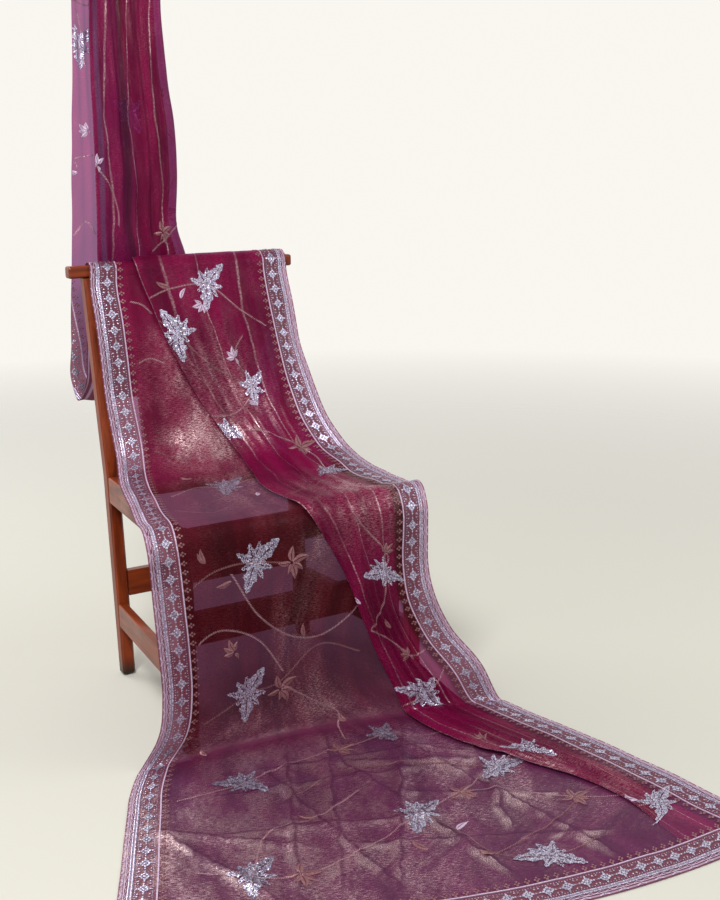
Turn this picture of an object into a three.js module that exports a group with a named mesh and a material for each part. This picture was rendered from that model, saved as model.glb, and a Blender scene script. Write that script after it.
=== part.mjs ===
// An organza saree hung from a rod and draped over the bare frame of a wooden chair.
// Units are millimetres and +Z is up. The chair faces -Y, +X is its right-hand side seen from the
// front, and Y = 0 passes through its back legs at seat height. The group is moved at the end so
// that its origin is at the middle of its box, on the floor.
import * as THREE from 'three';

// ---------------------------------------------------------------- driving dimensions
const SEAM = 0.5; // gap between pieces that meet

const LEG = 28.4; // square legs and posts
const BACK_LEG_SPAN = 445; // between the centres of the back legs
const FRONT_LEG_SPAN = 509; // between the centres of the front legs
const SEAT_DEPTH = 463; // from the back legs to the front legs
const SEAT_HEIGHT = 450;
const RAIL_HEIGHT = 897; // top of the top rail
const RAIL_DEPTH = 26; // height of the top rail's section
const RAIL_OVERHANG = 30; // past each post
const BACK_LEAN = 80; // how far the top rail lies behind the seat's back edge
const FOOT_SET = 33; // how far the back feet stand in front of it
const SEAT_RAIL_DEPTH = 58;
const BOARD = 20; // thickness of the seat rails and stretchers
const STRETCHERS = { // height of the lower edge, and depth of the board
  front: [220, 64],
  back: [178, 58],
  side: [114, 53],
};
const STILE = 41; // width of the two upright bars of the back
const STILE_REACH = 141; // from the middle to a stile's outer edge
const STILE_THICKNESS = 16;
const PANEL_THICKNESS = 8;
const BRACKET = { arm: 44, height: 24, sheet: 2.4 };

const CLOTH = 1.5; // wall thickness
const FLAT = CLOTH / 2; // mid-surface height where the cloth lies on the floor
const BORDER = 75; // width of the embroidered border
const EDGE_FLAP = 85; // strip at the right-hand edge that can turn back, border included
const TURNED_FLAP = 120; // the same strip where it is turned back behind the hanging length
const WAVES = 4; // long ridges side by side in the folded band

const ROD_RADIUS = 11;
const ROD_ENDS = [-233, 44];
const ROD_CENTRE = { y: 166, z: 1535 };

// The drape, row by row from the end on the floor to the end behind the rod. Each row crosses the
// cloth from its left edge, through a middle point, to its right edge. Between rows the surface is
// smooth. The cloth is folded like a Z: a lower layer from the left edge to a hidden fold, a middle
// layer back to a fold that shows, and an upper layer to the right edge.
//   single  width of cloth left of the fold that shows, where it is one layer
//   hidden  distance from the hidden fold to the right edge
//   gap     distance between layers
//   ridge   height of the long ridges in the folded band
//   turn    degrees by which the right-hand flap is turned back
//   border  width of the left-hand border
const COLUMNS = [
  'name',
  'leftX', 'leftY', 'leftZ',
  'midX', 'midY', 'midZ',
  'rightX', 'rightY', 'rightZ',
  'single', 'hidden', 'gap', 'ridge', 'turn', 'border',
];
const ROWS = [
  ['end', -592, -946, FLAT, 170, -1262, FLAT, 497, -1262, FLAT, 970, 30, 2.5, 0, 0, 75],
  ['floor_a', -560, -876, FLAT, 150, -1150, FLAT, 481, -1164, FLAT, 930, 30, 2.5, 0, 0, 75],
  ['floor_b', -524, -797, FLAT, 120, -1020, FLAT, 465, -1052, FLAT, 892, 30, 2.5, 1, 0, 75],
  ['floor_c', -487, -713, FLAT, 90, -880, FLAT, 447, -935, FLAT, 812, 32, 3.5, 6, 0, 75],
  ['floor_d', -451, -633, FLAT, 60, -750, FLAT, 428, -823, FLAT, 698, 40, 4, 8, 0, 75],
  ['floor_e', -419, -563, FLAT, 20, -640, FLAT, 408, -726, FLAT, 628, 50, 4, 9, 0, 75],
  ['floor_f', -388, -511, FLAT, -20, -556, FLAT, 393, -647, FLAT, 580, 60, 4, 9, 0, 75],
  ['contact', -370, -487, 3, -35, -506, 2.5, 386, -606, 3, 560, 70, 4, 9, 0, 75],
  ['fall_a', -334, -486, 52, -40, -492, 36, 358, -574, 80, 513, 100, 4, 9, 0, 75],
  ['fall_b', -318, -487, 132, -38, -494, 125, 310, -530, 156, 458, 110, 4, 10, 0, 75],
  ['fall_c', -321, -488, 215, -36, -496, 215, 271, -514, 246, 427, 80, 4, 9, 0, 75],
  ['fall_d', -327, -491, 297, -35, -496, 300, 264, -504, 308, 405, 50, 4, 8, 0, 75],
  ['fall_e', -333, -494, 376, -35, -494, 380, 265, -501, 380, 371, 34, 4, 7, 0, 75],
  ['edge_low', -338, -494, 436, -35, -490, 440, 266, -497, 430, 343, 30, 4, 6, 0, 75],
  ['edge_top', -336, -479, 455, -35, -476, 455, 269, -482, 454, 332, 30, 4, 5, 0, 75],
  ['seat_a', -318, -395, 457, -30, -390, 451, 270, -425, 454, 317, 30, 4, 5, 0, 75],
  ['seat_b', -290, -290, 457, -20, -270, 448, 268, -345, 454, 301, 30, 4, 6, 0, 75],
  ['seat_c', -262, -170, 459, -10, -170, 457, 275, -250, 459, 292, 30, 4, 7, 0, 75],
  ['corner_a', -234, -75, 467, 0, -85, 475, 276, -165, 480, 279, 30, 4, 8, 0, 75],
  ['corner_b', -219, -25, 500, 8, -38, 520, 265, -105, 530, 248, 30, 4, 8, 0, 75],
  ['back_a', -223, 6, 600, 0, -8, 600, 259, -48, 600, 210, 30, 4, 7, 0, 75],
  ['back_b', -224, 22, 690, 0, 12, 700, 254, 8, 685, 165, 30, 4, 6, 0, 75],
  ['back_c', -226, 38, 790, 0, 36, 795, 247, 38, 794, 134, 30, 4, 5, 0, 75],
  ['rail_low', -226, 57, 868, 0, 57, 870, 244, 58, 872, 112, 30, 4, 2, 0, 75],
  ['rail_front', -223, 61, 891, 0, 61, 891, 245, 61, 891, 104, 30, 4, 1, 0, 75],
  ['rail_top', -221, 80.5, 902, 0, 80.5, 902, 247, 80.5, 902, 104, 30, 4, 1, 0, 75],
  ['rail_back', -221, 100, 891, 0, 100, 891, 249, 100, 891, 110, 30, 4, 1, 0, 75],
  ['swag_a', -221, 104, 868, 0, 104, 868, 250, 104, 868, 112, 40, 4, 1, 0, 75],
  ['swag_b', -223, 105, 775, -5, 105, 770, 236, 105, 775, 110, 60, 4, 3, 0, 75],
  ['swag_c', -226, 106, 690, -15, 106, 683, 214, 106, 690, 105, 90, 4, 4, 0, 75],
  ['swag_d', -232, 108, 632, -25, 108, 622, 190, 108, 634, 98, 112, 4, 4, 0, 75],
  ['swag_low', -243, 129, 594, -32, 129, 588, 180, 129, 596, 90, 126, 4, 3, 0, 68],
  ['rise_a', -250, 150, 640, -40, 150, 632, 172, 150, 642, 82, 128, 5, 4, 10, 52],
  ['rise_b', -245, 150, 720, -42, 150, 718, 160, 150, 722, 74, 129, 6, 5, 50, 36],
  ['rise_c', -239, 150, 810, -45, 150, 810, 148, 150, 810, 66, 129, 7, 7, 105, 18],
  ['rise_d', -232, 150, 906, -48, 150, 906, 137, 150, 906, 59, 129, 8, 9, 150, 0],
  ['hang_a', -228, 150, 959, -53, 150, 959, 123, 150, 959, 57, 129, 9, 12, 172, 0],
  ['hang_b', -219, 150, 1092, -45, 150, 1092, 129, 150, 1092, 52, 129, 9, 14, 180, 0],
  ['hang_c', -212, 150, 1200, -43, 150, 1200, 126, 150, 1200, 46, 129, 9, 14, 180, 0],
  ['hang_d', -204, 150, 1308, -45, 150, 1308, 114, 150, 1308, 40, 129, 9, 13, 180, 0],
  ['hang_e', -200, 150, 1385, -45, 150, 1385, 110, 150, 1385, 38, 129, 8, 12, 180, 0],
  ['hang_top', -195, 150, 1490, -40, 150, 1490, 114, 150, 1490, 36, 129, 5, 5, 180, 0],
  ['rod_front', -194, 150, 1535, -40, 150, 1535, 115, 150, 1535, 36, 129, 3, 0.5, 180, 0],
  ['rod_rise', -194, 154.7, 1546.3, -40, 154.7, 1546.3, 115, 154.7, 1546.3, 36, 129, 3, 0, 180, 0],
  ['rod_top', -194, 166, 1551, -40, 166, 1551, 115, 166, 1551, 36, 129, 3, 0, 180, 0],
  ['rod_fall', -194, 177.3, 1546.3, -40, 177.3, 1546.3, 115, 177.3, 1546.3, 36, 129, 3, 0, 180, 0],
  ['rod_back', -194, 182, 1535, -40, 182, 1535, 115, 182, 1535, 36, 129, 3, 0.5, 180, 0],
  ['tail_end', -196, 182, 1475, -41, 182, 1475, 114, 182, 1475, 36, 129, 3.5, 2, 180, 0],
].map((row) => Object.fromEntries(COLUMNS.map((column, i) => [column, row[i]])));

// The stretches of cloth: first and last row, and how many steps the wall takes between two rows.
const STRETCHES = [
  { name: 'floor', from: 'floor_b', to: 'floor_f', steps: 1 },
  { name: 'fall', from: 'floor_f', to: 'edge_low', steps: 1 },
  { name: 'seat', from: 'edge_low', to: 'corner_a', steps: 1 },
  { name: 'back', from: 'corner_a', to: 'rail_low', steps: 1 },
  { name: 'rail', from: 'rail_low', to: 'swag_a', steps: 2 },
  { name: 'swag', from: 'swag_a', to: 'rise_a', steps: 1 },
  { name: 'hanging', from: 'rise_a', to: 'hang_top', steps: 1 },
  { name: 'over_rod', from: 'hang_top', to: 'tail_end', steps: 1 },
];

// ---------------------------------------------------------------- materials
const finish = (name, color, roughness, metalness = 0) =>
  () => new THREE.MeshStandardMaterial({ name, color, roughness, metalness });
const wood = finish('varnished wood', 0x8a4416, 0.28);
const panelWood = finish('back panel', 0x9a6238, 0.35);
const metal = finish('zinc plate', 0x8d8f92, 0.4, 0.8);
const organza = finish('organza', 0x8a2a5e, 0.45);
const borderWork = finish('border work', 0xb79aa6, 0.5, 0.2);

// ---------------------------------------------------------------- solids
// A closed solid through rings that all have the same number of points, with flat ends.
function loft(rings) {
  const count = rings[0].length;
  const positions = rings.flat().flatMap((p) => [p.x, p.y, p.z]);
  const indices = [];
  for (let i = 0; i + 1 < rings.length; i++) {
    for (let j = 0; j < count; j++) {
      const a = i * count + j;
      const b = i * count + ((j + 1) % count);
      indices.push(a, b, b + count, a, b + count, a + count);
    }
  }
  const last = (rings.length - 1) * count;
  for (let j = 1; j + 1 < count; j++) {
    indices.push(0, j + 1, j, last, last + j, last + j + 1);
  }
  const geometry = new THREE.BufferGeometry();
  geometry.setAttribute('position', new THREE.Float32BufferAttribute(positions, 3));
  geometry.setIndex(indices);
  geometry.computeVertexNormals();
  return geometry;
}

// A rectangle with cut corners, as the ring of a square leg, around (x, y) at height z.
function legRing(x, y, z, side, corner) {
  const h = side / 2;
  const k = h - corner;
  const outline = [[h, -k], [h, k], [k, h], [-k, h], [-h, k], [-h, -k], [-k, -h], [k, -h]];
  return outline.map(([dx, dy]) => new THREE.Vector3(x + dx, y + dy, z));
}

// A board with a plan outline [x, y] and its long edges eased, between two heights.
function board(plan, bottom, top, ease = 2) {
  const shape = new THREE.Shape(plan.map(([x, y]) => new THREE.Vector2(x, y)));
  const geometry = new THREE.ExtrudeGeometry(shape, {
    depth: top - bottom - 2 * ease,
    bevelEnabled: true,
    bevelThickness: ease,
    bevelSize: ease,
    bevelOffset: -ease,
    bevelSegments: 1,
  });
  geometry.translate(0, 0, bottom + ease);
  return geometry;
}

// A wall of even thickness around a grid of mid-surface points, rows by columns. The first and the
// last row only give the slope at the wall's ends, so that two stretches meet square at a seam.
function wall(outline, thickness = CLOTH) {
  const grid = outline.slice(1, -1);
  const rows = grid.length;
  const columns = grid[0].length;
  const along = new THREE.Vector3();
  const across = new THREE.Vector3();
  const layers = [-thickness / 2, thickness / 2].map((offset) =>
    grid.map((row, i) =>
      row.map((point, j) => {
        along.subVectors(outline[i + 2][j], outline[i][j]);
        across.subVectors(row[Math.min(j + 1, columns - 1)], row[Math.max(j - 1, 0)]);
        return across.clone().cross(along).normalize().multiplyScalar(offset).add(point);
      })));
  const positions = layers.flat(2).flatMap((p) => [p.x, p.y, p.z]);
  const at = (layer, i, j) => (layer * rows + i) * columns + j;
  const indices = [];
  const quad = (a, b, c, d) => indices.push(a, b, c, a, c, d);
  for (let i = 0; i + 1 < rows; i++) {
    for (let j = 0; j + 1 < columns; j++) {
      quad(at(1, i, j), at(1, i, j + 1), at(1, i + 1, j + 1), at(1, i + 1, j));
      quad(at(0, i, j), at(0, i + 1, j), at(0, i + 1, j + 1), at(0, i, j + 1));
    }
    quad(at(0, i, 0), at(1, i, 0), at(1, i + 1, 0), at(0, i + 1, 0));
    quad(at(1, i, columns - 1), at(0, i, columns - 1),
      at(0, i + 1, columns - 1), at(1, i + 1, columns - 1));
  }
  for (let j = 0; j + 1 < columns; j++) {
    quad(at(0, 0, j), at(0, 0, j + 1), at(1, 0, j + 1), at(1, 0, j));
    quad(at(1, rows - 1, j), at(1, rows - 1, j + 1), at(0, rows - 1, j + 1), at(0, rows - 1, j));
  }
  const geometry = new THREE.BufferGeometry();
  geometry.setAttribute('position', new THREE.Float32BufferAttribute(positions, 3));
  geometry.setIndex(indices);
  geometry.computeVertexNormals();
  return geometry;
}

// ---------------------------------------------------------------- the drape's surface
const corners = (side) =>
  ROWS.map((row) => new THREE.Vector3(row[`${side}X`], row[`${side}Y`], row[`${side}Z`]));
const LEFT = corners('left');
const MIDDLE = corners('mid');
const RIGHT = corners('right');

// Length along the cloth at each row, from the end on the floor.
const LENGTHS = [0];
for (let i = 1; i < ROWS.length; i++) {
  const step = [LEFT, MIDDLE, RIGHT].reduce((sum, line) => sum + line[i].distanceTo(line[i - 1]), 0);
  LENGTHS.push(LENGTHS[i - 1] + step / 3);
}
const lengthAt = (name) => LENGTHS[ROWS.findIndex((row) => row.name === name)];

// The span of rows that holds a length, and how far along it the length is.
function spanOf(length) {
  let i = 0;
  while (i < ROWS.length - 2 && length > LENGTHS[i + 1]) i++;
  return [i, (length - LENGTHS[i]) / (LENGTHS[i + 1] - LENGTHS[i])];
}

// A column's value at a length, straight between rows.
function valueAt(column, length) {
  const [i, t] = spanOf(length);
  return THREE.MathUtils.lerp(ROWS[i][column], ROWS[i + 1][column], t);
}

// A smooth line through one point of every row, at a length.
function pointOnLine(line, length) {
  const [i, t] = spanOf(length);
  const rise = (k) => line[k + 1].clone().sub(line[k]).divideScalar(LENGTHS[k + 1] - LENGTHS[k]);
  const slope = (k) => {
    if (k === 0) return rise(0);
    if (k === ROWS.length - 1) return rise(k - 1);
    const share = (LENGTHS[k] - LENGTHS[k - 1]) / (LENGTHS[k + 1] - LENGTHS[k - 1]);
    return rise(k - 1).lerp(rise(k), share);
  };
  const span = LENGTHS[i + 1] - LENGTHS[i];
  const t2 = t * t;
  const t3 = t2 * t;
  const point = line[i].clone().multiplyScalar(2 * t3 - 3 * t2 + 1)
    .addScaledVector(slope(i), (t3 - 2 * t2 + t) * span)
    .addScaledVector(line[i + 1], 3 * t2 - 2 * t3)
    .addScaledVector(slope(i + 1), (t3 - t2) * span);
  point.z = Math.max(point.z, FLAT);
  return point;
}

// The crossing of the cloth at a length: a function from the share of its width to a point.
function crossing(length) {
  const left = pointOnLine(LEFT, length);
  const middle = pointOnLine(MIDDLE, length);
  const right = pointOnLine(RIGHT, length);
  const first = left.distanceTo(middle);
  const width = first + middle.distanceTo(right);
  const k = first / width;
  const at = (w) => left.clone().multiplyScalar(((w - k) * (w - 1)) / k)
    .addScaledVector(middle, (w * (w - 1)) / (k * (k - 1)))
    .addScaledVector(right, (w * (w - k)) / (1 - k));
  return { at, width, right };
}

// Outward normal of the surface: towards the upper layer.
function normalAt(length, w) {
  const step = 2;
  const last = LENGTHS[LENGTHS.length - 1];
  const behind = crossing(Math.max(length - step, 0)).at(w);
  const ahead = crossing(Math.min(length + step, last)).at(w);
  const row = crossing(length);
  const across = row.at(Math.min(w + 0.005, 1)).sub(row.at(Math.max(w - 0.005, 0)));
  return across.cross(ahead.sub(behind)).normalize();
}

const wave = (share, count) => 0.5 - 0.5 * Math.cos(2 * Math.PI * count * share);

// All that one crossing needs to place its layers.
function fold(length) {
  const row = crossing(length);
  const value = (column) => valueAt(column, length);
  const turn = THREE.MathUtils.degToRad(value('turn'));
  const flap = THREE.MathUtils.lerp(EDGE_FLAP, TURNED_FLAP, turn / Math.PI);
  const shown = value('single') / row.width;
  const hidden = 1 - value('hidden') / row.width;
  const hinge = 1 - flap / row.width;
  const gap = value('gap');
  const rest = length <= lengthAt('floor_f') ? 0 : Math.min((length - lengthAt('floor_f')) / 60, 1);
  const ridge = (w) => {
    if (w >= hinge) return 0;
    if (w <= shown) return value('ridge') * 0.35 * wave(w / shown, 2);
    return value('ridge') * wave((w - shown) / (hinge - shown), WAVES);
  };
  // Lower, middle and upper layers are 0, 1 and 2. On the floor the lower one lies flat.
  const place = (w, layer) => {
    const share = [rest, (1 + rest) / 2, 1][layer];
    return row.at(w).addScaledVector(normalAt(length, w), layer * gap + ridge(w) * share);
  };
  return { row, value, turn, flap, shown, hidden, hinge, gap, place, length };
}

// Half a turn of cloth between two layers, bulging to one side.
function halfTurn(from, to, outward, parts) {
  const centre = from.clone().add(to).divideScalar(2);
  const arm = from.clone().sub(centre);
  const reach = outward.clone().setLength(arm.length());
  return Array.from({ length: parts - 1 }, (_, i) => {
    const angle = (Math.PI * (i + 1)) / parts;
    return centre.clone().addScaledVector(arm, Math.cos(angle)).addScaledVector(reach, Math.sin(angle));
  });
}

// A point of the right-hand flap, at a distance past its hinge.
function flapPoint(f, distance) {
  const start = f.row.at(f.hinge);
  const out = f.row.right.clone().sub(start).normalize();
  const up = normalAt(f.length, f.hinge);
  const radius = 1.5 * f.gap;
  const centre = start.clone().addScaledVector(up, 2 * f.gap - radius);
  const angle = Math.min(f.turn, distance / radius);
  const straight = distance - angle * radius;
  return centre
    .addScaledVector(up, radius * Math.cos(angle) - straight * Math.sin(angle))
    .addScaledVector(out, radius * Math.sin(angle) + straight * Math.cos(angle));
}

const steps = (from, to, count) =>
  Array.from({ length: count + 1 }, (_, i) => from + ((to - from) * i) / count);

// Points across the field of the cloth, between its borders, as one folded line.
function fieldLine(length) {
  const f = fold(length);
  const border = f.value('border');
  const start = border > 0 ? (border + SEAM) / f.row.width : 0;
  const out = f.row.at(1).sub(f.row.at(0));
  const layer = (from, to, count, level) => steps(from, to, count).map((w) => f.place(w, level));
  const band = 4 * WAVES;
  const lower = [
    ...layer(start, f.shown, 5, 0),
    ...layer(f.shown, f.hidden, band, 0).slice(1),
  ];
  const middle = layer(f.hidden, f.shown, band, 1);
  const upper = layer(f.shown, f.hinge, band, 2);
  const flapField = steps(0, f.flap - BORDER - SEAM, 3).slice(1).map((d) => flapPoint(f, d));
  return [
    ...lower,
    ...halfTurn(lower[lower.length - 1], middle[0], out, 3),
    ...middle,
    ...halfTurn(middle[middle.length - 1], upper[0], out.clone().negate(), 3),
    ...upper,
    ...flapField,
  ];
}

function leftBorderLine(length) {
  const f = fold(length);
  return steps(0, f.value('border') / f.row.width, 2).map((w) => f.place(w, 0));
}

function rightBorderLine(length) {
  const f = fold(length);
  return steps(f.flap - BORDER, f.flap, 3).map((d) => flapPoint(f, d));
}

// Lengths at which a stretch's wall has its rings, a seam short of each end, and the rows next
// before and after it.
function ringsOf({ from, to, steps: parts }) {
  const first = ROWS.findIndex((row) => row.name === from);
  const last = ROWS.findIndex((row) => row.name === to);
  const lengths = [LENGTHS[first] + SEAM / 2];
  for (let i = first; i < last; i++) {
    for (let k = 1; k <= parts; k++) {
      lengths.push(THREE.MathUtils.lerp(LENGTHS[i], LENGTHS[i + 1], k / parts));
    }
  }
  lengths[lengths.length - 1] -= SEAM / 2;
  const after = Math.min(last + 1, LENGTHS.length - 1);
  return [LENGTHS[first - 1], ...lengths, LENGTHS[after]];
}

// ---------------------------------------------------------------- assembly
const model = new THREE.Group();

function add(name, geometry, material, parent = model) {
  const mesh = new THREE.Mesh(geometry, material());
  mesh.name = name;
  parent.add(mesh);
  return mesh;
}

const seatHalf = (y) => THREE.MathUtils.lerp(BACK_LEG_SPAN, FRONT_LEG_SPAN, -y / SEAT_DEPTH) / 2;
const leanAt = (z) => (BACK_LEAN * (z - SEAT_HEIGHT)) / (RAIL_HEIGHT - SEAT_HEIGHT);

function addLegs() {
  for (const [side, sign] of [['left', -1], ['right', 1]]) {
    const frontX = (sign * FRONT_LEG_SPAN) / 2;
    add(`front_leg_${side}`, loft([
      legRing(frontX, -SEAT_DEPTH, 0, LEG - 8, 5),
      legRing(frontX, -SEAT_DEPTH, 5, LEG, 4),
      legRing(frontX, -SEAT_DEPTH, SEAT_HEIGHT - 2, LEG, 4),
      legRing(frontX, -SEAT_DEPTH, SEAT_HEIGHT, LEG - 4, 4),
    ]), wood);
    const backX = (sign * BACK_LEG_SPAN) / 2;
    const postTop = RAIL_HEIGHT - RAIL_DEPTH - SEAM;
    add(`back_post_${side}`, loft([
      legRing(backX, -FOOT_SET, 0, LEG - 8, 5),
      legRing(backX, -FOOT_SET * 0.99, 5, LEG, 4),
      legRing(backX, -FOOT_SET * 0.3, SEAT_HEIGHT * 0.7, LEG, 4),
      legRing(backX, 0, SEAT_HEIGHT, LEG, 4),
      legRing(backX, leanAt(postTop), postTop, LEG, 4),
    ]), wood);
  }
}

function addTopRail() {
  const half = BACK_LEG_SPAN / 2 + LEG / 2 + RAIL_OVERHANG;
  const y = BACK_LEAN;
  const outline = new THREE.Shape();
  const h = RAIL_DEPTH / 2;
  const d = LEG / 2;
  const round = 6;
  outline.absarc(d - round, h - round, round, 0, Math.PI / 2);
  outline.absarc(round - d, h - round, round, Math.PI / 2, Math.PI);
  outline.absarc(round - d, round - h, round, Math.PI, 1.5 * Math.PI);
  outline.absarc(d - round, round - h, round, 1.5 * Math.PI, 2 * Math.PI);
  const ease = 4;
  const geometry = new THREE.ExtrudeGeometry(outline, {
    depth: 2 * (half - ease),
    bevelThickness: ease,
    bevelSize: ease,
    bevelOffset: -ease,
    bevelSegments: 2,
    curveSegments: 3,
  });
  geometry.translate(0, 0, -(half - ease));
  geometry.rotateX(Math.PI / 2);
  geometry.rotateZ(Math.PI / 2);
  geometry.translate(0, y, RAIL_HEIGHT - h);
  add('top_rail', geometry, wood);
}

// The back's two stiles and the thin panel between them, leaning with the posts.
function addBack() {
  const bottom = SEAT_HEIGHT + SEAM;
  const top = RAIL_HEIGHT - RAIL_DEPTH - SEAM;
  const upright = (from, to, thickness, setBack) => loft([bottom, top].map((z) => {
    const y = leanAt(z) + setBack;
    return [[from, -1], [to, -1], [to, 1], [from, 1]]
      .map(([x, s]) => new THREE.Vector3(x, y + (s * thickness) / 2, z));
  }));
  const inner = STILE_REACH - STILE;
  add('back_stile_left', upright(-STILE_REACH, -inner, STILE_THICKNESS, -3), wood);
  add('back_stile_right', upright(inner, STILE_REACH, STILE_THICKNESS, -3), wood);
  add('back_panel', upright(-inner + SEAM, inner - SEAM, PANEL_THICKNESS, 2), panelWood);
}

// Rails and stretchers between the legs, each a board with its ends against the legs.
function addRails() {
  const inset = LEG / 2 + SEAM;
  const across = (name, y, depthBack, bottom, height, legX) => add(name, board([
    [-legX + inset, y], [legX - inset, y],
    [legX - inset, y + depthBack], [-legX + inset, y + depthBack],
  ], bottom, bottom + height), wood);
  const frontFace = -SEAT_DEPTH - LEG / 2;
  const seatBottom = SEAT_HEIGHT - SEAT_RAIL_DEPTH;
  const footY = (z) => -FOOT_SET * (1 - z / SEAT_HEIGHT);
  const [frontLow, frontHeight] = STRETCHERS.front;
  const [backLow, backHeight] = STRETCHERS.back;
  const [sideLow, sideHeight] = STRETCHERS.side;
  across('seat_rail_front', frontFace + 1, BOARD, seatBottom, SEAT_RAIL_DEPTH, FRONT_LEG_SPAN / 2);
  across('seat_rail_back', -BOARD / 2, BOARD, seatBottom, SEAT_RAIL_DEPTH, BACK_LEG_SPAN / 2);
  across('stretcher_front', frontFace + 3, BOARD, frontLow, frontHeight, FRONT_LEG_SPAN / 2);
  across('stretcher_back', footY(backLow) - BOARD / 2, BOARD, backLow, backHeight,
    BACK_LEG_SPAN / 2);

  const side = (name, sign, bottom, height, backY) => {
    const nearY = backY - LEG / 2 - SEAM - 1;
    const farY = -SEAT_DEPTH + LEG / 2 + SEAM;
    const outer = (y) => sign * (seatHalf(y) + LEG / 2 - 2);
    const innerX = (y) => sign * (seatHalf(y) + LEG / 2 - 2 - BOARD);
    const plan = [
      [outer(nearY), nearY], [outer(farY), farY],
      [innerX(farY), farY], [innerX(nearY), nearY],
    ];
    add(name, board(sign > 0 ? plan.reverse() : plan, bottom, bottom + height), wood);
  };
  for (const [name, sign] of [['left', -1], ['right', 1]]) {
    side(`seat_rail_${name}`, sign, seatBottom, SEAT_RAIL_DEPTH, -FOOT_SET * 0.1);
    side(`stretcher_${name}`, sign, sideLow, sideHeight, footY(sideLow) - 1.5);
  }
}

// Angle plates that brace the seat rails inside the frame's corners.
function addBrackets() {
  const { arm, height, sheet } = BRACKET;
  const low = SEAT_HEIGHT - SEAT_RAIL_DEPTH + 6;
  const corner = LEG / 2 + 8;
  const frontY = -SEAT_DEPTH - LEG / 2 + 1 + BOARD + SEAM;
  const backY = -BOARD / 2 - SEAM;
  for (const [name, sign] of [['left', -1], ['right', 1]]) {
    for (const [end, y, way] of [['front', frontY, 1], ['back', backY, -1]]) {
      const x = sign * (seatHalf(y) - corner);
      const plan = [
        [x, y], [x - sign * arm, y], [x - sign * arm, y + way * sheet],
        [x, y + way * sheet],
      ];
      const turned = sign * way > 0;
      add(`bracket_${end}_${name}`, board(turned ? plan.reverse() : plan, low, low + height, 0.5),
        metal);
    }
  }
}

function addRod() {
  const [from, to] = ROD_ENDS;
  const geometry = new THREE.CylinderGeometry(ROD_RADIUS, ROD_RADIUS, to - from, 20);
  geometry.rotateZ(Math.PI / 2);
  geometry.translate((from + to) / 2, ROD_CENTRE.y, ROD_CENTRE.z);
  add('hanging_rod', geometry, wood);
}

function addSaree() {
  for (const stretch of STRETCHES) {
    const rings = ringsOf(stretch);
    add(`saree_${stretch.name}`, wall(rings.map(fieldLine)), organza);
    add(`border_right_${stretch.name}`, wall(rings.map(rightBorderLine)), borderWork);
    const bordered = rings.filter((length) => valueAt('border', length) > 3);
    if (bordered.length > 1) {
      add(`border_left_${stretch.name}`, wall(bordered.map(leftBorderLine)), borderWork);
    }
  }
  // The end of the cloth on the floor lies open and flat, one layer thick. Its pieces lie between
  // two lengths, and between two distances from the left or the right edge.
  const flat = (name, fromLeft, fromRight, low, high, columns, material) => {
    const lengths = [low, ...steps(low, high, 4), high + 1];
    add(name, wall(lengths.map((length) => {
      const row = crossing(length);
      return steps(fromLeft(row.width), fromRight(row.width), columns)
        .map((distance) => row.at(distance / row.width));
    })), material);
  };
  const inside = BORDER + SEAM;
  const high = lengthAt('floor_b') - SEAM / 2;
  flat('saree_end', () => inside, (width) => width - inside, inside, high, 20, organza);
  flat('border_end', () => 0, (width) => width, 0, BORDER, 20, borderWork);
  flat('border_left_end', () => 0, () => BORDER, inside, high, 2, borderWork);
  flat('border_right_end', (width) => width - BORDER, (width) => width, inside, high, 2,
    borderWork);
}

addLegs();
addTopRail();
addBack();
addRails();
addBrackets();
addRod();
addSaree();

const group = new THREE.Group();
group.add(model);
const box = new THREE.Box3().setFromObject(model);
const middle = box.getCenter(new THREE.Vector3());
model.position.set(-middle.x, -middle.y, 0);

export default group;
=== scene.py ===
# %% [markdown]
# # An organza saree draped over a chair frame
#
# A saree is one long piece of cloth with no seams: about five and a half metres by a little over
# one. This one is sheer organza with a silver border along both edges and across its end. It hangs
# from a rod, dips behind a plain wooden chair, comes up over the chair's top rail, runs down the
# back, across the open seat and over the front, and spreads on the floor.
#
# Each step below first says what the real thing is and how it can be made, and then makes it. The
# hard parts of the chair are loaded with the frame, and the cloth is drawn here much more finely
# than the plain walls that stand for it.

# %% Load the frame
import math
import random

import bpy
import numpy as np
from mathutils import Matrix, Vector


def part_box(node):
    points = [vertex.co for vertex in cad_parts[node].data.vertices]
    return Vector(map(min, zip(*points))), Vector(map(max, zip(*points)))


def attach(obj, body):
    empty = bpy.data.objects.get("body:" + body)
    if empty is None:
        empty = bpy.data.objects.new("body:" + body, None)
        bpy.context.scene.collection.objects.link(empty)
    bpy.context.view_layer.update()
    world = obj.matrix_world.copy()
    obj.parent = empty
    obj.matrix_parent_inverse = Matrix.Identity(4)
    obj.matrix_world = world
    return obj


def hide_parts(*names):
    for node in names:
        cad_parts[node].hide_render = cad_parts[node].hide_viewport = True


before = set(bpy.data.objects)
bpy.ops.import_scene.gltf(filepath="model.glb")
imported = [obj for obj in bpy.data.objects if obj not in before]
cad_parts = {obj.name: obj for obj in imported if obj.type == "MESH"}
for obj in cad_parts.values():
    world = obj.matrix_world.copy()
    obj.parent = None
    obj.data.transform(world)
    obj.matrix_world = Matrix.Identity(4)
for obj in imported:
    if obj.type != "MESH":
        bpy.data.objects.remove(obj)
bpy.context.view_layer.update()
bpy.ops.object.select_all(action="DESELECT")

# %% [markdown]
# ## Where the chair stands
#
# All the sizes below are in millimetres from the middle of the chair, at its back legs, because
# that is how one would measure a chair. The frame's origin lies elsewhere, so one offset takes any
# point from the one to the other. The middle of the top rail shows what it is.

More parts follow.
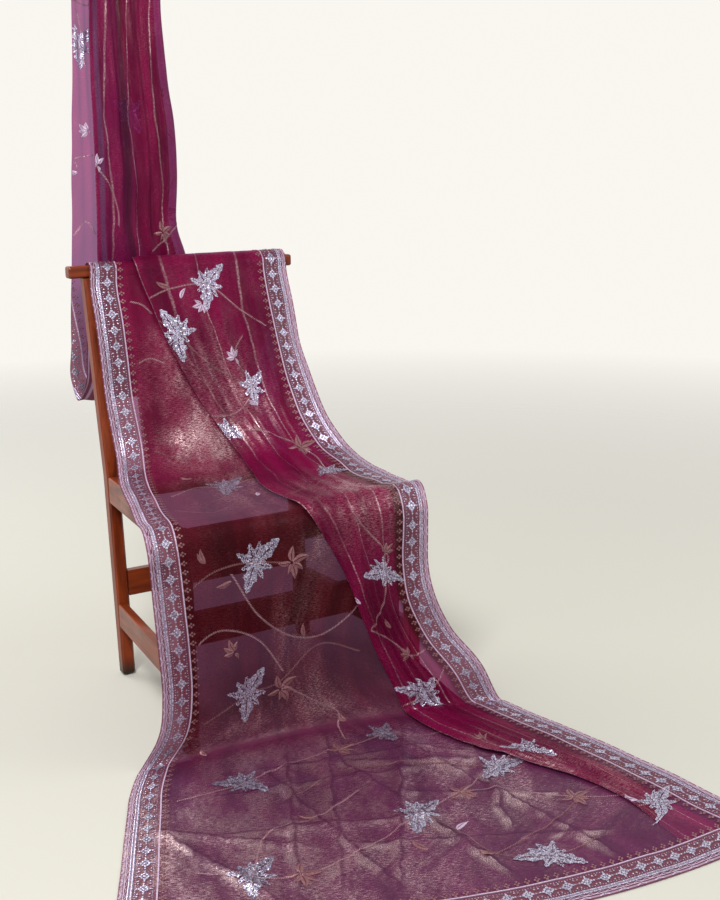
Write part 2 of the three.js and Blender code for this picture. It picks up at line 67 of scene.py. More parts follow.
# %% From chair millimetres to the frame's metres
TOP_RAIL_MIDDLE = (0.0, 80.0, 884.0)
rail_low, rail_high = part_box("top_rail")
OFFSET = np.array([
    (rail_low[0] + rail_high[0]) / 2 - TOP_RAIL_MIDDLE[0] / 1000,
    (rail_low[1] + rail_high[1]) / 2 - TOP_RAIL_MIDDLE[1] / 1000,
    0.0,
])


def in_frame(points):
    """Millimetres from the chair's middle, as metres in the frame."""
    return np.asarray(points, dtype=float) / 1000 + OFFSET


print("offset in metres:", OFFSET.round(4))

# %% [markdown]
# ## The camera
#
# The camera stands to the chair's left and a little above the seat's height, about three metres
# away, and looks slightly down. Its focal length of 50 mm on a 36 mm sensor leaves the chair's
# upright lines nearly parallel.

# %% The camera
CAMERA_PLACE = (-1108.2, -2549.5, 1132.9)
CAMERA_YAW = 0.53646
CAMERA_PITCH = 0.23513
CAMERA_ROLL = -0.01095
CAMERA_LENS = 50.19


def camera_axes(yaw, pitch, roll):
    """The camera's right, up and back directions, as the columns of a turn."""
    forward = Vector((math.sin(yaw) * math.cos(pitch), math.cos(yaw) * math.cos(pitch),
                      -math.sin(pitch)))
    level = Vector((math.cos(yaw), -math.sin(yaw), 0))
    upright = level.cross(forward)
    right = level * math.cos(roll) + upright * math.sin(roll)
    up = upright * math.cos(roll) - level * math.sin(roll)
    return Matrix((right, up, -forward)).transposed()


camera = bpy.data.objects.new("camera", bpy.data.cameras.new("camera"))
camera.data.lens = CAMERA_LENS
camera.data.sensor_width = 36
camera.matrix_world = Matrix.Translation(in_frame(CAMERA_PLACE)) @ camera_axes(
    CAMERA_YAW, CAMERA_PITCH, CAMERA_ROLL).to_4x4()
bpy.context.collection.objects.link(camera)
bpy.context.scene.camera = camera
print("camera at", tuple(round(x, 3) for x in camera.location))

# %% [markdown]
# ## The drape, row by row
#
# Draped cloth is easiest to describe by rows across it, as a weaver sees it. Each row here has its
# left edge, a middle point and its right edge, and a few sizes that say how it is folded: the cloth
# is folded in three like a Z along its length, and only a strip at its left is a single layer.
#
# A cloth simulation could find such a shape, but not this one in particular, so the rows are
# measured and the surface between them is smooth.

# %% The rows of the drape
FLAT = 0.75
ROW_COLUMNS = ("left_x", "left_y", "left_z", "mid_x", "mid_y", "mid_z", "right_x", "right_y",
               "right_z", "single", "hidden", "gap", "ridge", "turn", "border")
ROWS = {
    "end": (-592, -946, FLAT, 170, -1262, FLAT, 497, -1262, FLAT, 970, 30, 2.5, 0, 0, 75),
    "floor_a": (-560, -876, FLAT, 150, -1150, FLAT, 481, -1164, FLAT, 930, 30, 2.5, 0, 0, 75),
    "floor_b": (-524, -797, FLAT, 120, -1020, FLAT, 465, -1052, FLAT, 892, 30, 2.5, 1, 0, 75),
    "floor_c": (-487, -713, FLAT, 90, -880, FLAT, 447, -935, FLAT, 812, 32, 3.5, 6, 0, 75),
    "floor_d": (-451, -633, FLAT, 60, -750, FLAT, 428, -823, FLAT, 698, 40, 4, 8, 0, 75),
    "floor_e": (-419, -563, FLAT, 20, -640, FLAT, 408, -726, FLAT, 628, 50, 4, 9, 0, 75),
    "floor_f": (-388, -511, FLAT, -20, -556, FLAT, 393, -647, FLAT, 580, 60, 4, 9, 0, 75),
    "contact": (-370, -487, 3, -35, -506, 2.5, 386, -606, 3, 560, 70, 4, 9, 0, 75),
    "fall_a": (-334, -486, 52, -40, -492, 36, 358, -574, 80, 513, 100, 4, 9, 0, 75),
    "fall_b": (-318, -487, 132, -38, -494, 125, 310, -530, 156, 458, 110, 4, 10, 0, 75),
    "fall_c": (-321, -488, 215, -36, -496, 215, 271, -514, 246, 427, 80, 4, 9, 0, 75),
    "fall_d": (-327, -491, 297, -35, -496, 300, 264, -504, 308, 405, 50, 4, 8, 0, 75),
    "fall_e": (-333, -494, 376, -35, -494, 380, 265, -501, 380, 371, 34, 4, 7, 0, 75),
    "edge_low": (-338, -494, 436, -35, -490, 440, 266, -497, 430, 343, 30, 4, 6, 0, 75),
    "edge_top": (-336, -479, 455, -35, -476, 455, 269, -482, 454, 332, 30, 4, 5, 0, 75),
    "seat_a": (-318, -395, 457, -30, -390, 451, 270, -425, 454, 317, 30, 4, 5, 0, 75),
    "seat_b": (-290, -290, 457, -20, -270, 448, 268, -345, 454, 301, 30, 4, 6, 0, 75),
    "seat_c": (-262, -170, 459, -10, -170, 457, 275, -250, 459, 292, 30, 4, 7, 0, 75),
    "corner_a": (-234, -75, 467, 0, -85, 475, 276, -165, 480, 279, 30, 4, 8, 0, 75),
    "corner_b": (-219, -25, 500, 8, -38, 520, 265, -105, 530, 248, 30, 4, 8, 0, 75),
    "back_a": (-223, 6, 600, 0, -8, 600, 259, -48, 600, 210, 30, 4, 7, 0, 75),
    "back_b": (-224, 22, 690, 0, 12, 700, 254, 8, 685, 165, 30, 4, 6, 0, 75),
    "back_c": (-226, 38, 790, 0, 36, 795, 247, 38, 794, 134, 30, 4, 5, 0, 75),
    "rail_low": (-226, 57, 868, 0, 57, 870, 244, 58, 872, 112, 30, 4, 2, 0, 75),
    "rail_front": (-223, 61, 891, 0, 61, 891, 245, 61, 891, 104, 30, 4, 1, 0, 75),
    "rail_top": (-221, 80.5, 902, 0, 80.5, 902, 247, 80.5, 902, 104, 30, 4, 1, 0, 75),
    "rail_back": (-221, 100, 891, 0, 100, 891, 249, 100, 891, 110, 30, 4, 1, 0, 75),
    "swag_a": (-221, 104, 868, 0, 104, 868, 250, 104, 868, 112, 40, 4, 1, 0, 75),
    "swag_b": (-223, 105, 775, -5, 105, 770, 236, 105, 775, 110, 60, 4, 3, 0, 75),
    "swag_c": (-226, 106, 690, -15, 106, 683, 214, 106, 690, 105, 90, 4, 4, 0, 75),
    "swag_d": (-232, 108, 632, -25, 108, 622, 190, 108, 634, 98, 112, 4, 4, 0, 75),
    "swag_low": (-243, 129, 594, -32, 129, 588, 180, 129, 596, 90, 126, 4, 3, 0, 68),
    "rise_a": (-250, 150, 640, -40, 150, 632, 172, 150, 642, 82, 128, 5, 4, 10, 52),
    "rise_b": (-245, 150, 720, -42, 150, 718, 160, 150, 722, 74, 129, 6, 5, 50, 36),
    "rise_c": (-239, 150, 810, -45, 150, 810, 148, 150, 810, 66, 129, 7, 7, 105, 18),
    "rise_d": (-232, 150, 906, -48, 150, 906, 137, 150, 906, 59, 129, 8, 9, 150, 0),
    "hang_a": (-228, 150, 959, -53, 150, 959, 123, 150, 959, 57, 129, 9, 12, 172, 0),
    "hang_b": (-219, 150, 1092, -45, 150, 1092, 129, 150, 1092, 52, 129, 9, 14, 180, 0),
    "hang_c": (-212, 150, 1200, -43, 150, 1200, 126, 150, 1200, 46, 129, 9, 14, 180, 0),
    "hang_d": (-204, 150, 1308, -45, 150, 1308, 114, 150, 1308, 40, 129, 9, 13, 180, 0),
    "hang_e": (-200, 150, 1385, -45, 150, 1385, 110, 150, 1385, 38, 129, 8, 12, 180, 0),
    "hang_top": (-195, 150, 1490, -40, 150, 1490, 114, 150, 1490, 36, 129, 5, 5, 180, 0),
    "rod_front": (-194, 150, 1535, -40, 150, 1535, 115, 150, 1535, 36, 129, 3, 0.5, 180, 0),
    "rod_rise": (-194, 154.7, 1546.3, -40, 154.7, 1546.3, 115, 154.7, 1546.3,
                 36, 129, 3, 0, 180, 0),
    "rod_top": (-194, 166, 1551, -40, 166, 1551, 115, 166, 1551, 36, 129, 3, 0, 180, 0),
    "rod_fall": (-194, 177.3, 1546.3, -40, 177.3, 1546.3, 115, 177.3, 1546.3,
                 36, 129, 3, 0, 180, 0),
    "rod_back": (-194, 182, 1535, -40, 182, 1535, 115, 182, 1535, 36, 129, 3, 0.5, 180, 0),
    "tail_end": (-196, 182, 1475, -41, 182, 1475, 114, 182, 1475, 36, 129, 3.5, 2, 180, 0),
}
ROW_NAMES = list(ROWS)
TABLE = {name: np.array([row[i] for row in ROWS.values()], dtype=float)
         for i, name in enumerate(ROW_COLUMNS)}
LEFT_LINE, MIDDLE_LINE, RIGHT_LINE = (
    np.stack([TABLE[f"{side}_{axis}"] for axis in "xyz"], axis=1)
    for side in ("left", "mid", "right"))
ROW_STEPS = sum(np.linalg.norm(np.diff(line, axis=0), axis=1)
                for line in (LEFT_LINE, MIDDLE_LINE, RIGHT_LINE)) / 3
ROW_LENGTHS = np.concatenate([[0], np.cumsum(ROW_STEPS)])
LENGTH_OF = dict(zip(ROW_NAMES, ROW_LENGTHS))
SAREE_LENGTH = ROW_LENGTHS[-1]
print(len(ROWS), "rows along", round(SAREE_LENGTH), "mm of cloth")

# %% [markdown]
# ## A smooth surface through the rows
#
# A Hermite curve goes through its points with a slope at each, and the slope here is the mean of
# the two neighbouring ones. The same curve carries the three lines of points and the plain sizes.
# Across a row, a parabola through the three points is enough.

# %% Smooth lines through the rows
BORDER = 75.0
EDGE_FLAP = 85.0
TURNED_FLAP = 120.0
CLOTH_WIDTH = 1160.0


def along_rows(values, lengths):
    """A smooth line through one value or point for each row, at any lengths."""
    values = np.asarray(values, dtype=float)
    flat = values.ndim == 1
    values = values.reshape(len(values), -1)
    spans = np.diff(ROW_LENGTHS)[:, None]
    rises = np.diff(values, axis=0) / spans
    slopes = np.empty_like(values)
    slopes[1:-1] = (rises[:-1] * spans[1:] + rises[1:] * spans[:-1]) / (spans[1:] + spans[:-1])
    slopes[0], slopes[-1] = rises[0], rises[-1]
    i = np.clip(np.searchsorted(ROW_LENGTHS, lengths, side="right") - 1, 0, len(values) - 2)
    span = spans[i]
    t = ((lengths - ROW_LENGTHS[i]) / span[:, 0])[:, None]
    line = ((2 * t**3 - 3 * t**2 + 1) * values[i] + (t**3 - 2 * t**2 + t) * span * slopes[i]
            + (3 * t**2 - 2 * t**3) * values[i + 1] + (t**3 - t**2) * span * slopes[i + 1])
    return line[:, 0] if flat else line


def size_at(column, lengths):
    """A plain size between rows: smooth, and never past the sizes of the rows around it."""
    low = TABLE[column].min()
    high = TABLE[column].max()
    return np.clip(along_rows(TABLE[column], lengths), low, high)


def row_points(lengths):
    """The left, middle and right points of rows, and how far it is along each row's two halves."""
    left, middle, right = (
        along_rows(line, lengths) for line in (LEFT_LINE, MIDDLE_LINE, RIGHT_LINE))
    first = np.linalg.norm(middle - left, axis=1)
    return left, middle, right, first, np.linalg.norm(right - middle, axis=1)


def base_surface(lengths, distances):
    """Points of the lowest layer, at lengths and at distances from its left edge."""
    left, middle, right, first, second = row_points(lengths)
    width = first + second
    k = (first / width)[:, None]
    w = (distances / width)[:, None]
    points = (left * (w - k) * (w - 1) / k + middle * w * (w - 1) / (k * (k - 1))
              + right * w * (w - k) / (1 - k))
    points[:, 2] = np.maximum(points[:, 2], FLAT)
    return points


def row_width(lengths):
    first, second = row_points(lengths)[3:]
    return first + second


def base_normals(lengths, distances):
    """The way the upper layers lie from the lowest one."""
    step = 2.0
    behind = base_surface(np.maximum(lengths - step, 0), distances)
    ahead = base_surface(np.minimum(lengths + step, SAREE_LENGTH), distances)
    nearer = base_surface(lengths, distances - step)
    further = base_surface(lengths, distances + step)
    normals = np.cross(further - nearer, ahead - behind)
    return normals / np.linalg.norm(normals, axis=1)[:, None]


widths = row_width(ROW_LENGTHS)
print("widest row", round(widths.max()), "mm, narrowest", round(widths.min()), "mm")

# %% [markdown]
# ## Folding the cloth in three
#
# Going from the left edge, the cloth runs right under the folded band, turns back at a hidden fold,
# comes left again to the fold that shows, and turns once more. Each turn is half a circle as wide
# as the gap between layers. Past the band, a flap that carries the right-hand border lies flat, or
# curls back behind the hanging length.
#
# Everything below asks one function where a spot of the cloth lies, given how far it is from the
# left edge along the cloth and how far from the floor end.

# %% The folded path
# The folds in three die out on the floor, over this stretch short of the free end.
FOLD_END = 120.0
FOLD_FADE = 110.0
LEAST_STEP = 4.0
FADED_GAP = 0.08


def fold_sizes(lengths):
    """Where the folds of each row lie: distances along the row, and along the cloth."""
    width = row_width(lengths)
    turn = np.radians(size_at("turn", lengths))
    flap = EDGE_FLAP + (TURNED_FLAP - EDGE_FLAP) * turn / math.pi
    shown = size_at("single", lengths)
    hinge = np.maximum(width - flap, shown + LEAST_STEP)
    hidden = np.maximum(width - size_at("hidden", lengths), shown + LEAST_STEP)
    folded = np.clip((lengths - FOLD_END) / FOLD_FADE, 0.0, 1.0)
    folded = folded**2 * (3 - 2 * folded)
    hidden = shown + (hidden - shown) * folded
    gap = size_at("gap", lengths) * (FADED_GAP + (1 - FADED_GAP) * folded)
    bend = gap * math.pi / 2
    marks = np.cumsum([hidden, bend, hidden - shown, bend, hinge - shown], axis=0)
    end = marks[4] + flap * np.minimum(1.0, (width - hinge) / flap + turn)
    return {"width": width, "turn": turn, "flap": flap, "gap": gap, "shown": shown,
            "hidden": hidden, "hinge": hinge, "marks": np.vstack([marks, end])}


def fold_profile(along, sizes):
    """For spots of the cloth: distance across the row, height above the lowest layer, and layer."""
    marks, gap, shown, hidden, hinge = (
        sizes[key] for key in ("marks", "gap", "shown", "hidden", "hinge"))
    radius = gap / 2

    def bend(start, pivot, base, side, layer):
        angle = (along - start) / radius
        return (pivot + side * radius * np.sin(angle), base + radius * (1 - np.cos(angle)),
                layer + angle / math.pi)

    curl = np.maximum(1.5 * gap, 1.0)
    past_hinge = along - marks[4]
    angle = np.minimum(sizes["turn"], past_hinge / curl)
    rest = past_hinge - angle * curl
    stretches = (
        bend(marks[0], hidden, 0, 1, 0),
        (hidden - (along - marks[1]), gap, 1.0),
        bend(marks[2], shown, gap, -1, 1),
        (shown + (along - marks[3]), 2 * gap, 2.0),
        (hinge + curl * np.sin(angle) + rest * np.cos(angle),
         2 * gap - curl + curl * np.cos(angle) - rest * np.sin(angle), 2.0),
    )
    path = along, np.zeros_like(along), np.zeros_like(along)
    for mark, stretch in zip(marks, stretches):
        path = tuple(np.where(along > mark, new, old) for new, old in zip(stretch, path))
    return path


# %% [markdown]
# ## Pleats, creases and slack
#
# The band folded in three is also gathered lengthways, and what hangs falls into soft ridges. The
# ridges wander a little and are sharper at the top than in the valleys, which a plain sine isn't.
# The spread cloth keeps sharp creases from the pile in which it was stored. Each is one line of a
# table, from one spot of the cloth to another.

# %% Ridges, creases and slack
# Ridges of the folded band: place across the band, half-width, and height as a share of the row's.
BAND_RIDGES = (
    (0.07, 0.050, 0.55), (0.24, 0.070, 1.00), (0.42, 0.055, 0.75),
    (0.60, 0.075, 1.00), (0.80, 0.060, 0.85), (0.94, 0.035, 0.45),
)
# Creases on the floor: start x, y, end x, y, half-width, height.
FLOOR_CREASES = (
    (-88, -534, -310, -1010, 9, 6.3),
    (10, -519, -251, -1047, 12, 4.6),
    (169, -552, -178, -1092, 11, 6.7),
    (-330, -640, 120, -760, 14, 4.2),
    (-380, -760, 60, -930, 12, 5.0),
    (-250, -590, 200, -700, 16, 4.2),
    (-60, -640, 330, -860, 14, 5.5),
    (60, -600, 380, -960, 11, 4.6),
    (-200, -900, 260, -1120, 14, 3.8),
    (-440, -690, -210, -900, 11, 5.0),
    (230, -700, 90, -1040, 9, 5.5),
    (-20, -800, 300, -1000, 19, 4.6),
    (-175, -560, -160, -1120, 11, 6.2),
    (-40, -560, 20, -1160, 11, 6.2),
    (95, -560, 200, -1190, 12, 5.6),
    (-420, -700, -330, -1040, 11, 5.4),
)


def ridge_height(across, lengths, sizes):
    """Height of the band's ridges, the same through its layers, and of the single strip's."""
    width = np.maximum(sizes["hinge"] - sizes["shown"], 10.0)
    share = (across - sizes["shown"]) / width
    amount = size_at("ridge", lengths)
    height = np.zeros_like(across)
    for i, (place, half, tall) in enumerate(BAND_RIDGES):
        drift = 0.035 * np.sin(lengths / (190 + 37 * i) + 1.9 * i)
        swell = 0.8 + 0.2 * np.sin(lengths / (140 + 23 * i) + 2.3 * i)
        height += tall * swell * np.exp(-np.abs((share - place - drift) / half) ** 1.7)
    height *= np.clip(share / 0.05, 0, 1) * np.clip((1 - share) / 0.05, 0, 1)
    strip = across / np.maximum(sizes["shown"], 10.0)
    waves = 0.5 - 0.5 * np.cos(2 * math.pi * (2.2 * strip + 0.25 * np.sin(lengths / 160)))
    single = 0.35 * waves * np.clip(strip / 0.08, 0, 1) * np.clip((1 - strip) / 0.08, 0, 1)
    return amount * np.where(across < sizes["shown"], single, np.where(share < 1, height, 0))


def on_floor(lengths):
    return np.clip((LENGTH_OF["contact"] + 20 - lengths) / 60, 0, 1)


def crease_height(points):
    """Height of the floor's creases at points, which only the spread cloth takes."""
    height = np.zeros(len(points))
    for x0, y0, x1, y1, half, tall in FLOOR_CREASES:
        start = np.array([x0, y0], dtype=float)
        run = np.array([x1 - x0, y1 - y0], dtype=float)
        share = np.clip(((points[:, :2] - start) @ run) / (run @ run), 0, 1)
        # A crease isn't quite straight, and it dies out at both its ends.
        nearest = start + share[:, None] * run
        away = np.linalg.norm(points[:, :2] - nearest, axis=1)
        bow = 3 * np.sin(share * 9 + x0)
        height += (tall * np.exp(-np.abs((away - bow) / half) ** 1.4)
                   * np.sin(math.pi * share) ** 0.5)
    return height


def slack(across, lengths):
    """Low waves that any light cloth has, the same through folded layers so that none crosses."""
    waves = (
        (0.9, 61, 143, 0.3), (0.8, 87, -97, 1.7), (0.6, -44, 171, 2.9),
        (0.5, 36, 58, 4.1), (0.4, 27, -49, 5.3), (0.7, 120, 66, 0.9),
    )
    height = np.zeros_like(across)
    for tall, a, b, phase in waves:
        height += tall * np.sin(2 * math.pi * (across / (a * 2.3) + lengths / (b * 2.3)) + phase)
    return height


print(len(BAND_RIDGES), "ridges in the band and", len(FLOOR_CREASES), "creases on the floor")

# %% [markdown]
# ## Where every spot of the cloth lies
#
# Rows, folds, ridges, creases and slack come together in one function. The cloth is drawn from it,
# and so is all that is sewn on the cloth, which therefore never floats above it or sinks into it.

# %% Spots of the cloth
def cloth_points(along, lengths, lift=0.0):
    """Spots of the cloth, as millimetres from the chair's middle.

    along is how far a spot is from the left edge, lengths how far from the floor end, and lift how
    far above the outer side it lies. Above the lower and upper layers that is the side that shows.
    """
    along = np.atleast_1d(np.asarray(along, dtype=float))
    lengths = np.clip(np.atleast_1d(np.asarray(lengths, dtype=float)), 0, SAREE_LENGTH)
    along, lengths = (array.copy() for array in np.broadcast_arrays(along, lengths))
    sizes = fold_sizes(lengths)
    across, height, layer = fold_profile(along, sizes)
    inside = np.clip(across, 0, sizes["width"])
    points = base_surface(lengths, across)
    normals = base_normals(lengths, inside)
    floor = on_floor(lengths)
    # On the floor the lowest layer lies flat, and the ridges lift the ones above it.
    share = 1 - floor * (1 - np.minimum(layer, 2) / 2)
    ridges = ridge_height(inside, lengths, sizes) * share
    creases = crease_height(points) * floor
    hanging = (1 - floor) * np.clip((lengths - LENGTH_OF["contact"]) / 200, 0, 1)
    free = 1 - 0.75 * np.exp(-((lengths - LENGTH_OF["rail_top"]) / 45) ** 2)
    free *= 1 - 0.95 * np.exp(-((lengths - LENGTH_OF["rod_top"]) / 70) ** 2)
    waves = slack(inside, lengths) * (hanging * free + 0.35 * floor) + 1.1 * floor
    edge = np.clip(inside / 30, 0, 1)
    height = height + ridges + creases * edge + np.maximum(waves * floor, 0) + waves * (1 - floor)
    points = points + normals * (height + lift)[:, None]
    points[:, 2] = np.maximum(points[:, 2], FLAT + lift)
    return points


def full_width(lengths):
    return fold_sizes(np.atleast_1d(np.asarray(lengths, dtype=float)))["marks"][5]


probe = np.array([400.0, 1000.0, 2000.0, 3000.0])
print("cloth from edge to edge at four rows:", full_width(probe).round())


# %% [markdown]
# ## The sheet itself
#
# Organza is a tenth of a millimetre thick, so it is one open surface, not a wall. It is woven in
# code as a grid: each row of the grid goes from edge to edge along the folded path, with more
# columns where the path bends. Two UV maps go with it. One is a plan of the flat cloth in metres,
# for the border and the weave. The other says how far each spot is from the fold that shows, and
# from the hinge of the flap.

# %% The grid of the cloth
# Columns of the grid in the lower layer, a bend, the middle, a bend, the upper layer and the flap.
COLUMN_COUNTS = (104, 5, 42, 5, 64, 24)
ROW_SPACING = 11.0
TIGHT_SPACING = 0.4


def grid_rows():
    """Lengths of the grid's rows, closer together over the rails and the rod."""
    rows = [0.0]
    tight = (("fall_e", 0, "seat_a", 0), ("rail_low", 0, "swag_a", 0), ("swag_d", 0, "rise_a", 0),
             ("rod_front", -20, "rod_back", 10), ("floor_f", 0, "fall_a", 0))
    while rows[-1] < SAREE_LENGTH:
        near = any(LENGTH_OF[first] + before <= rows[-1] <= LENGTH_OF[last] + after
                   for first, before, last, after in tight)
        step = ROW_SPACING * (TIGHT_SPACING if near else 1.0)
        rows.append(min(rows[-1] + step, SAREE_LENGTH))
    if rows[-1] - rows[-2] < 1:
        rows.pop(-2)
    return np.array(rows)


def grid_columns(lengths):
    """Distances along the cloth for each row, the same number in every row."""
    marks = fold_sizes(lengths)["marks"]
    starts = np.vstack([0 * marks[0], marks[:5]])
    columns = [start + (end - start) * i / count
               for start, end, count in zip(starts, marks, COLUMN_COUNTS) for i in range(count)]
    return np.stack(columns + [marks[5]], axis=1)


def woven_place(along, lengths):
    """Where a spot is on the flat cloth: both borders at their own width from the woven edges."""
    total = full_width(lengths)
    from_left = along + BORDER - size_at("border", lengths)
    from_right = CLOTH_WIDTH - (total - along)
    share = np.clip((along - 2 * BORDER) / np.maximum(total - 4 * BORDER, 1), 0, 1)
    return from_left * (1 - share) + from_right * share


grid_lengths = grid_rows()
grid = grid_columns(grid_lengths)
row_count, column_count = grid.shape
all_lengths = np.repeat(grid_lengths, column_count)
all_along = grid.ravel()
fold_marks = fold_sizes(all_lengths)["marks"]
from_fold = all_along - (fold_marks[2] + fold_marks[3]) / 2
from_hinge = all_along - fold_marks[4]

corners_of = np.array([0, 1, column_count + 1, column_count])
firsts = np.arange(row_count - 1)[:, None] * column_count + np.arange(column_count - 1)
faces = (firsts.reshape(-1, 1) + corners_of).tolist()
sheet_mesh = bpy.data.meshes.new("saree_cloth")
sheet_mesh.from_pydata(in_frame(cloth_points(all_along, all_lengths)).tolist(), [], faces)
corners = np.array([loop.vertex_index for loop in sheet_mesh.loops])
for name, across, onward in (("plan", woven_place(all_along, all_lengths), all_lengths),
                             ("folds", from_fold, from_hinge)):
    flat = np.stack([across[corners], onward[corners]], axis=1) / 1000
    sheet_mesh.uv_layers.new(name=name).data.foreach_set("uv", flat.ravel())
sheet_mesh.polygons.foreach_set("use_smooth", [True] * len(sheet_mesh.polygons))
saree = bpy.data.objects.new("saree_cloth", sheet_mesh)
bpy.context.collection.objects.link(saree)
cloth_nodes = [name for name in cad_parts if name.startswith(("saree_", "border_"))]
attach(saree, "root")
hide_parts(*cloth_nodes)
print("the cloth:", row_count, "rows of", column_count, "points, for", len(cloth_nodes), "nodes")

# %% [markdown]
# ## A kit for materials
#
# A material is a graph of nodes. One small class keeps the graph and adds to it, so that what
# follows reads as sums: each method makes a node and gives back its output.

# %% Helpers for materials
class Graph:
    """The nodes of a material or of the surround."""

    def __init__(self, owner):
        owner.use_nodes = True
        self.owner = owner
        self.nodes = owner.node_tree.nodes
        self.links = owner.node_tree.links
        self.nodes.clear()

    def feed(self, socket, value):
        if isinstance(value, bpy.types.NodeSocket):
            self.links.new(value, socket)
        else:
            socket.default_value = value

    def node(self, kind, *values, **settings):
        """A node, with values for its first inputs, and settings or inputs by name."""
        node = self.nodes.new("ShaderNode" + kind)
        for key, value in settings.items():
            title = key.replace("_", " ")
            if title in node.inputs:
                self.feed(node.inputs[title], value)
            else:
                setattr(node, key, value)
        for socket, value in zip(node.inputs, values):
            self.feed(socket, value)
        return node

    def maths(self, operation, *values, clamp=False):
        return self.node("Math", *values, operation=operation, use_clamp=clamp).outputs[0]

    def times(self, value, *others, clamp=False):
        for other in others:
            value = self.maths("MULTIPLY", value, other, clamp=clamp)
        return value

    def most(self, value, *others, clamp=False):
        for other in others:
            value = self.maths("MAXIMUM", value, other, clamp=clamp)
        return value

    def apart(self, first, second):
        return self.maths("ABSOLUTE", self.maths("SUBTRACT", first, second))

    def vectors(self, operation, *values, output=0, **settings):
        return self.node("VectorMath", *values, operation=operation, **settings).outputs[output]

    def ramp(self, value, low, high, start=0.0, end=1.0):
        """A straight change from start to end as value goes from low to high."""
        return self.node("MapRange", value, low, high, start, end).outputs[0]

    def blend(self, share, first, second):
        """A colour between two."""
        node = self.node("Mix", data_type="RGBA")
        for number, value in ((0, share), (6, first), (7, second)):
            self.feed(node.inputs[number], value)
        return node.outputs[2]

    def table(self, value, stops):
        """A table of colours, read at value from 0 to 1."""
        node = self.node("ValToRGB", value)
        elements = node.color_ramp.elements
        while len(elements) < len(stops):
            elements.new(0.5)
        for element, (at, colour) in zip(elements, stops):
            element.position = at
            element.color = colour
        return node.outputs[0]

    def noise(self, place, scale, detail=2.0, output=0, **settings):
        return self.node("TexNoise", Vector=place, Scale=scale, Detail=detail,
                         **settings).outputs[output]

    def stretched(self, place, scale):
        return self.node("Mapping", place, Scale=scale).outputs[0]

    def parts(self, vector):
        """The X, Y and Z of a vector."""
        return self.node("SeparateXYZ", vector).outputs

    def place(self, kind="Object"):
        return self.node("TexCoord").outputs[kind]

    def bump(self, height, strength, distance, **settings):
        return self.node("Bump", Height=height, Strength=strength, Distance=distance,
                         **settings).outputs[0]

    def layers(self, share, first, second):
        """One surface in part over another."""
        return self.node("MixShader", share, first, second).outputs[0]

    def finish(self, surface, kind="OutputMaterial"):
        self.node(kind, surface)
        return self.owner


def new_graph(name):
    return Graph(bpy.data.materials.new(name))


# %% [markdown]
# ## Sheer organza
#
# Organza lets most of the light through and tints it, so a single layer looks mauve and three look
# wine red. Each layer is a mix of clear, tinted cloth and crimson threads that catch the light. A
# second set of threads is metallic, and shows as pale pink-gold glints where the cloth turns.
#
# The share of thread is more along the border, where the ground is worked with silver, and along
# the folds, where the cloth doubles. Single cloth is darker where the front hangs and in the swag,
# as painted shade of the dim space under and behind the chair, and greyer where it is spread.

# %% Where each kind of cloth is
CLEAR_TINT = (0.45, 0.265, 0.50, 1)
# Painted shade: the clear tint of single cloth in the fall and the swag.
CLEAR_PAINTED_SHADE = (0.17, 0.09, 0.19, 1)
CLEAR_SPREAD = (0.46, 0.29, 0.50, 1)
CRIMSON = (0.20, 0.002, 0.050, 1)
# Painted shade: the thread colour of single cloth in the fall and the swag.
CRIMSON_PAINTED_SHADE = (0.075, 0.003, 0.009, 1)
CRIMSON_SPREAD = (0.10, 0.006, 0.045, 1)
MAUVE_PLEAT = (0.13, 0.05, 0.13, 1)
# Painted shade in the hollow of one deep pleat of the hanging length.
FOLD_PAINTED_SHADE = (0.05, 0.004, 0.008, 1)
ZARI = (0.86, 0.66, 0.69, 1)
STITCHING = (0.36, 0.24, 0.36, 1)
BORDER_TINT = (0.34, 0.17, 0.24, 1)
BORDER_GROUND = (0.17, 0.045, 0.085, 1)

g = new_graph("organza")
plan = g.node("UVMap", uv_map="plan").outputs[0]
across_cloth, along_cloth = g.parts(plan)[:2]
past_fold, past_hinge = g.parts(g.node("UVMap", uv_map="folds").outputs[0])[:2]

# The border lies within its width of either woven edge and of the end.
half_width = CLOTH_WIDTH / 2000
from_edge = g.maths("SUBTRACT", half_width, g.apart(across_cloth, half_width))
nearest = g.maths("MINIMUM", from_edge, along_cloth)
in_border = g.ramp(nearest, 0.062, 0.058)
single = g.most(g.ramp(past_fold, 0.004, -0.004), g.ramp(past_hinge, 0.002, 0.010))
fall = g.times(g.ramp(along_cloth, 0.56, 0.76), g.ramp(along_cloth, 1.46, 1.38),
               g.ramp(along_cloth, 1.14, 1.08, 0.9, 1.0))
swag = g.times(g.ramp(along_cloth, 2.02, 2.10), g.ramp(along_cloth, 2.62, 2.50, 0.0, 0.7))
# Painted shade: where the single cloth of the fall and the swag is darkened.
painted_shade = g.times(g.most(fall, swag), single)
spread = g.times(g.ramp(along_cloth, 0.74, 0.60), single)
print("single cloth is clear by", CLEAR_TINT[:3], "and spread cloth by", CLEAR_SPREAD[:3])

# %% [markdown]
# ## Where the metal catches the light
#
# The glints are streaks, long across the cloth and thin along it, broken by a fine speckle. Soft
# bands run along the cloth, as light slides over its waves, and crumples light up as ragged,
# drawn-out spots. All of that is strong only in some patches of the cloth.

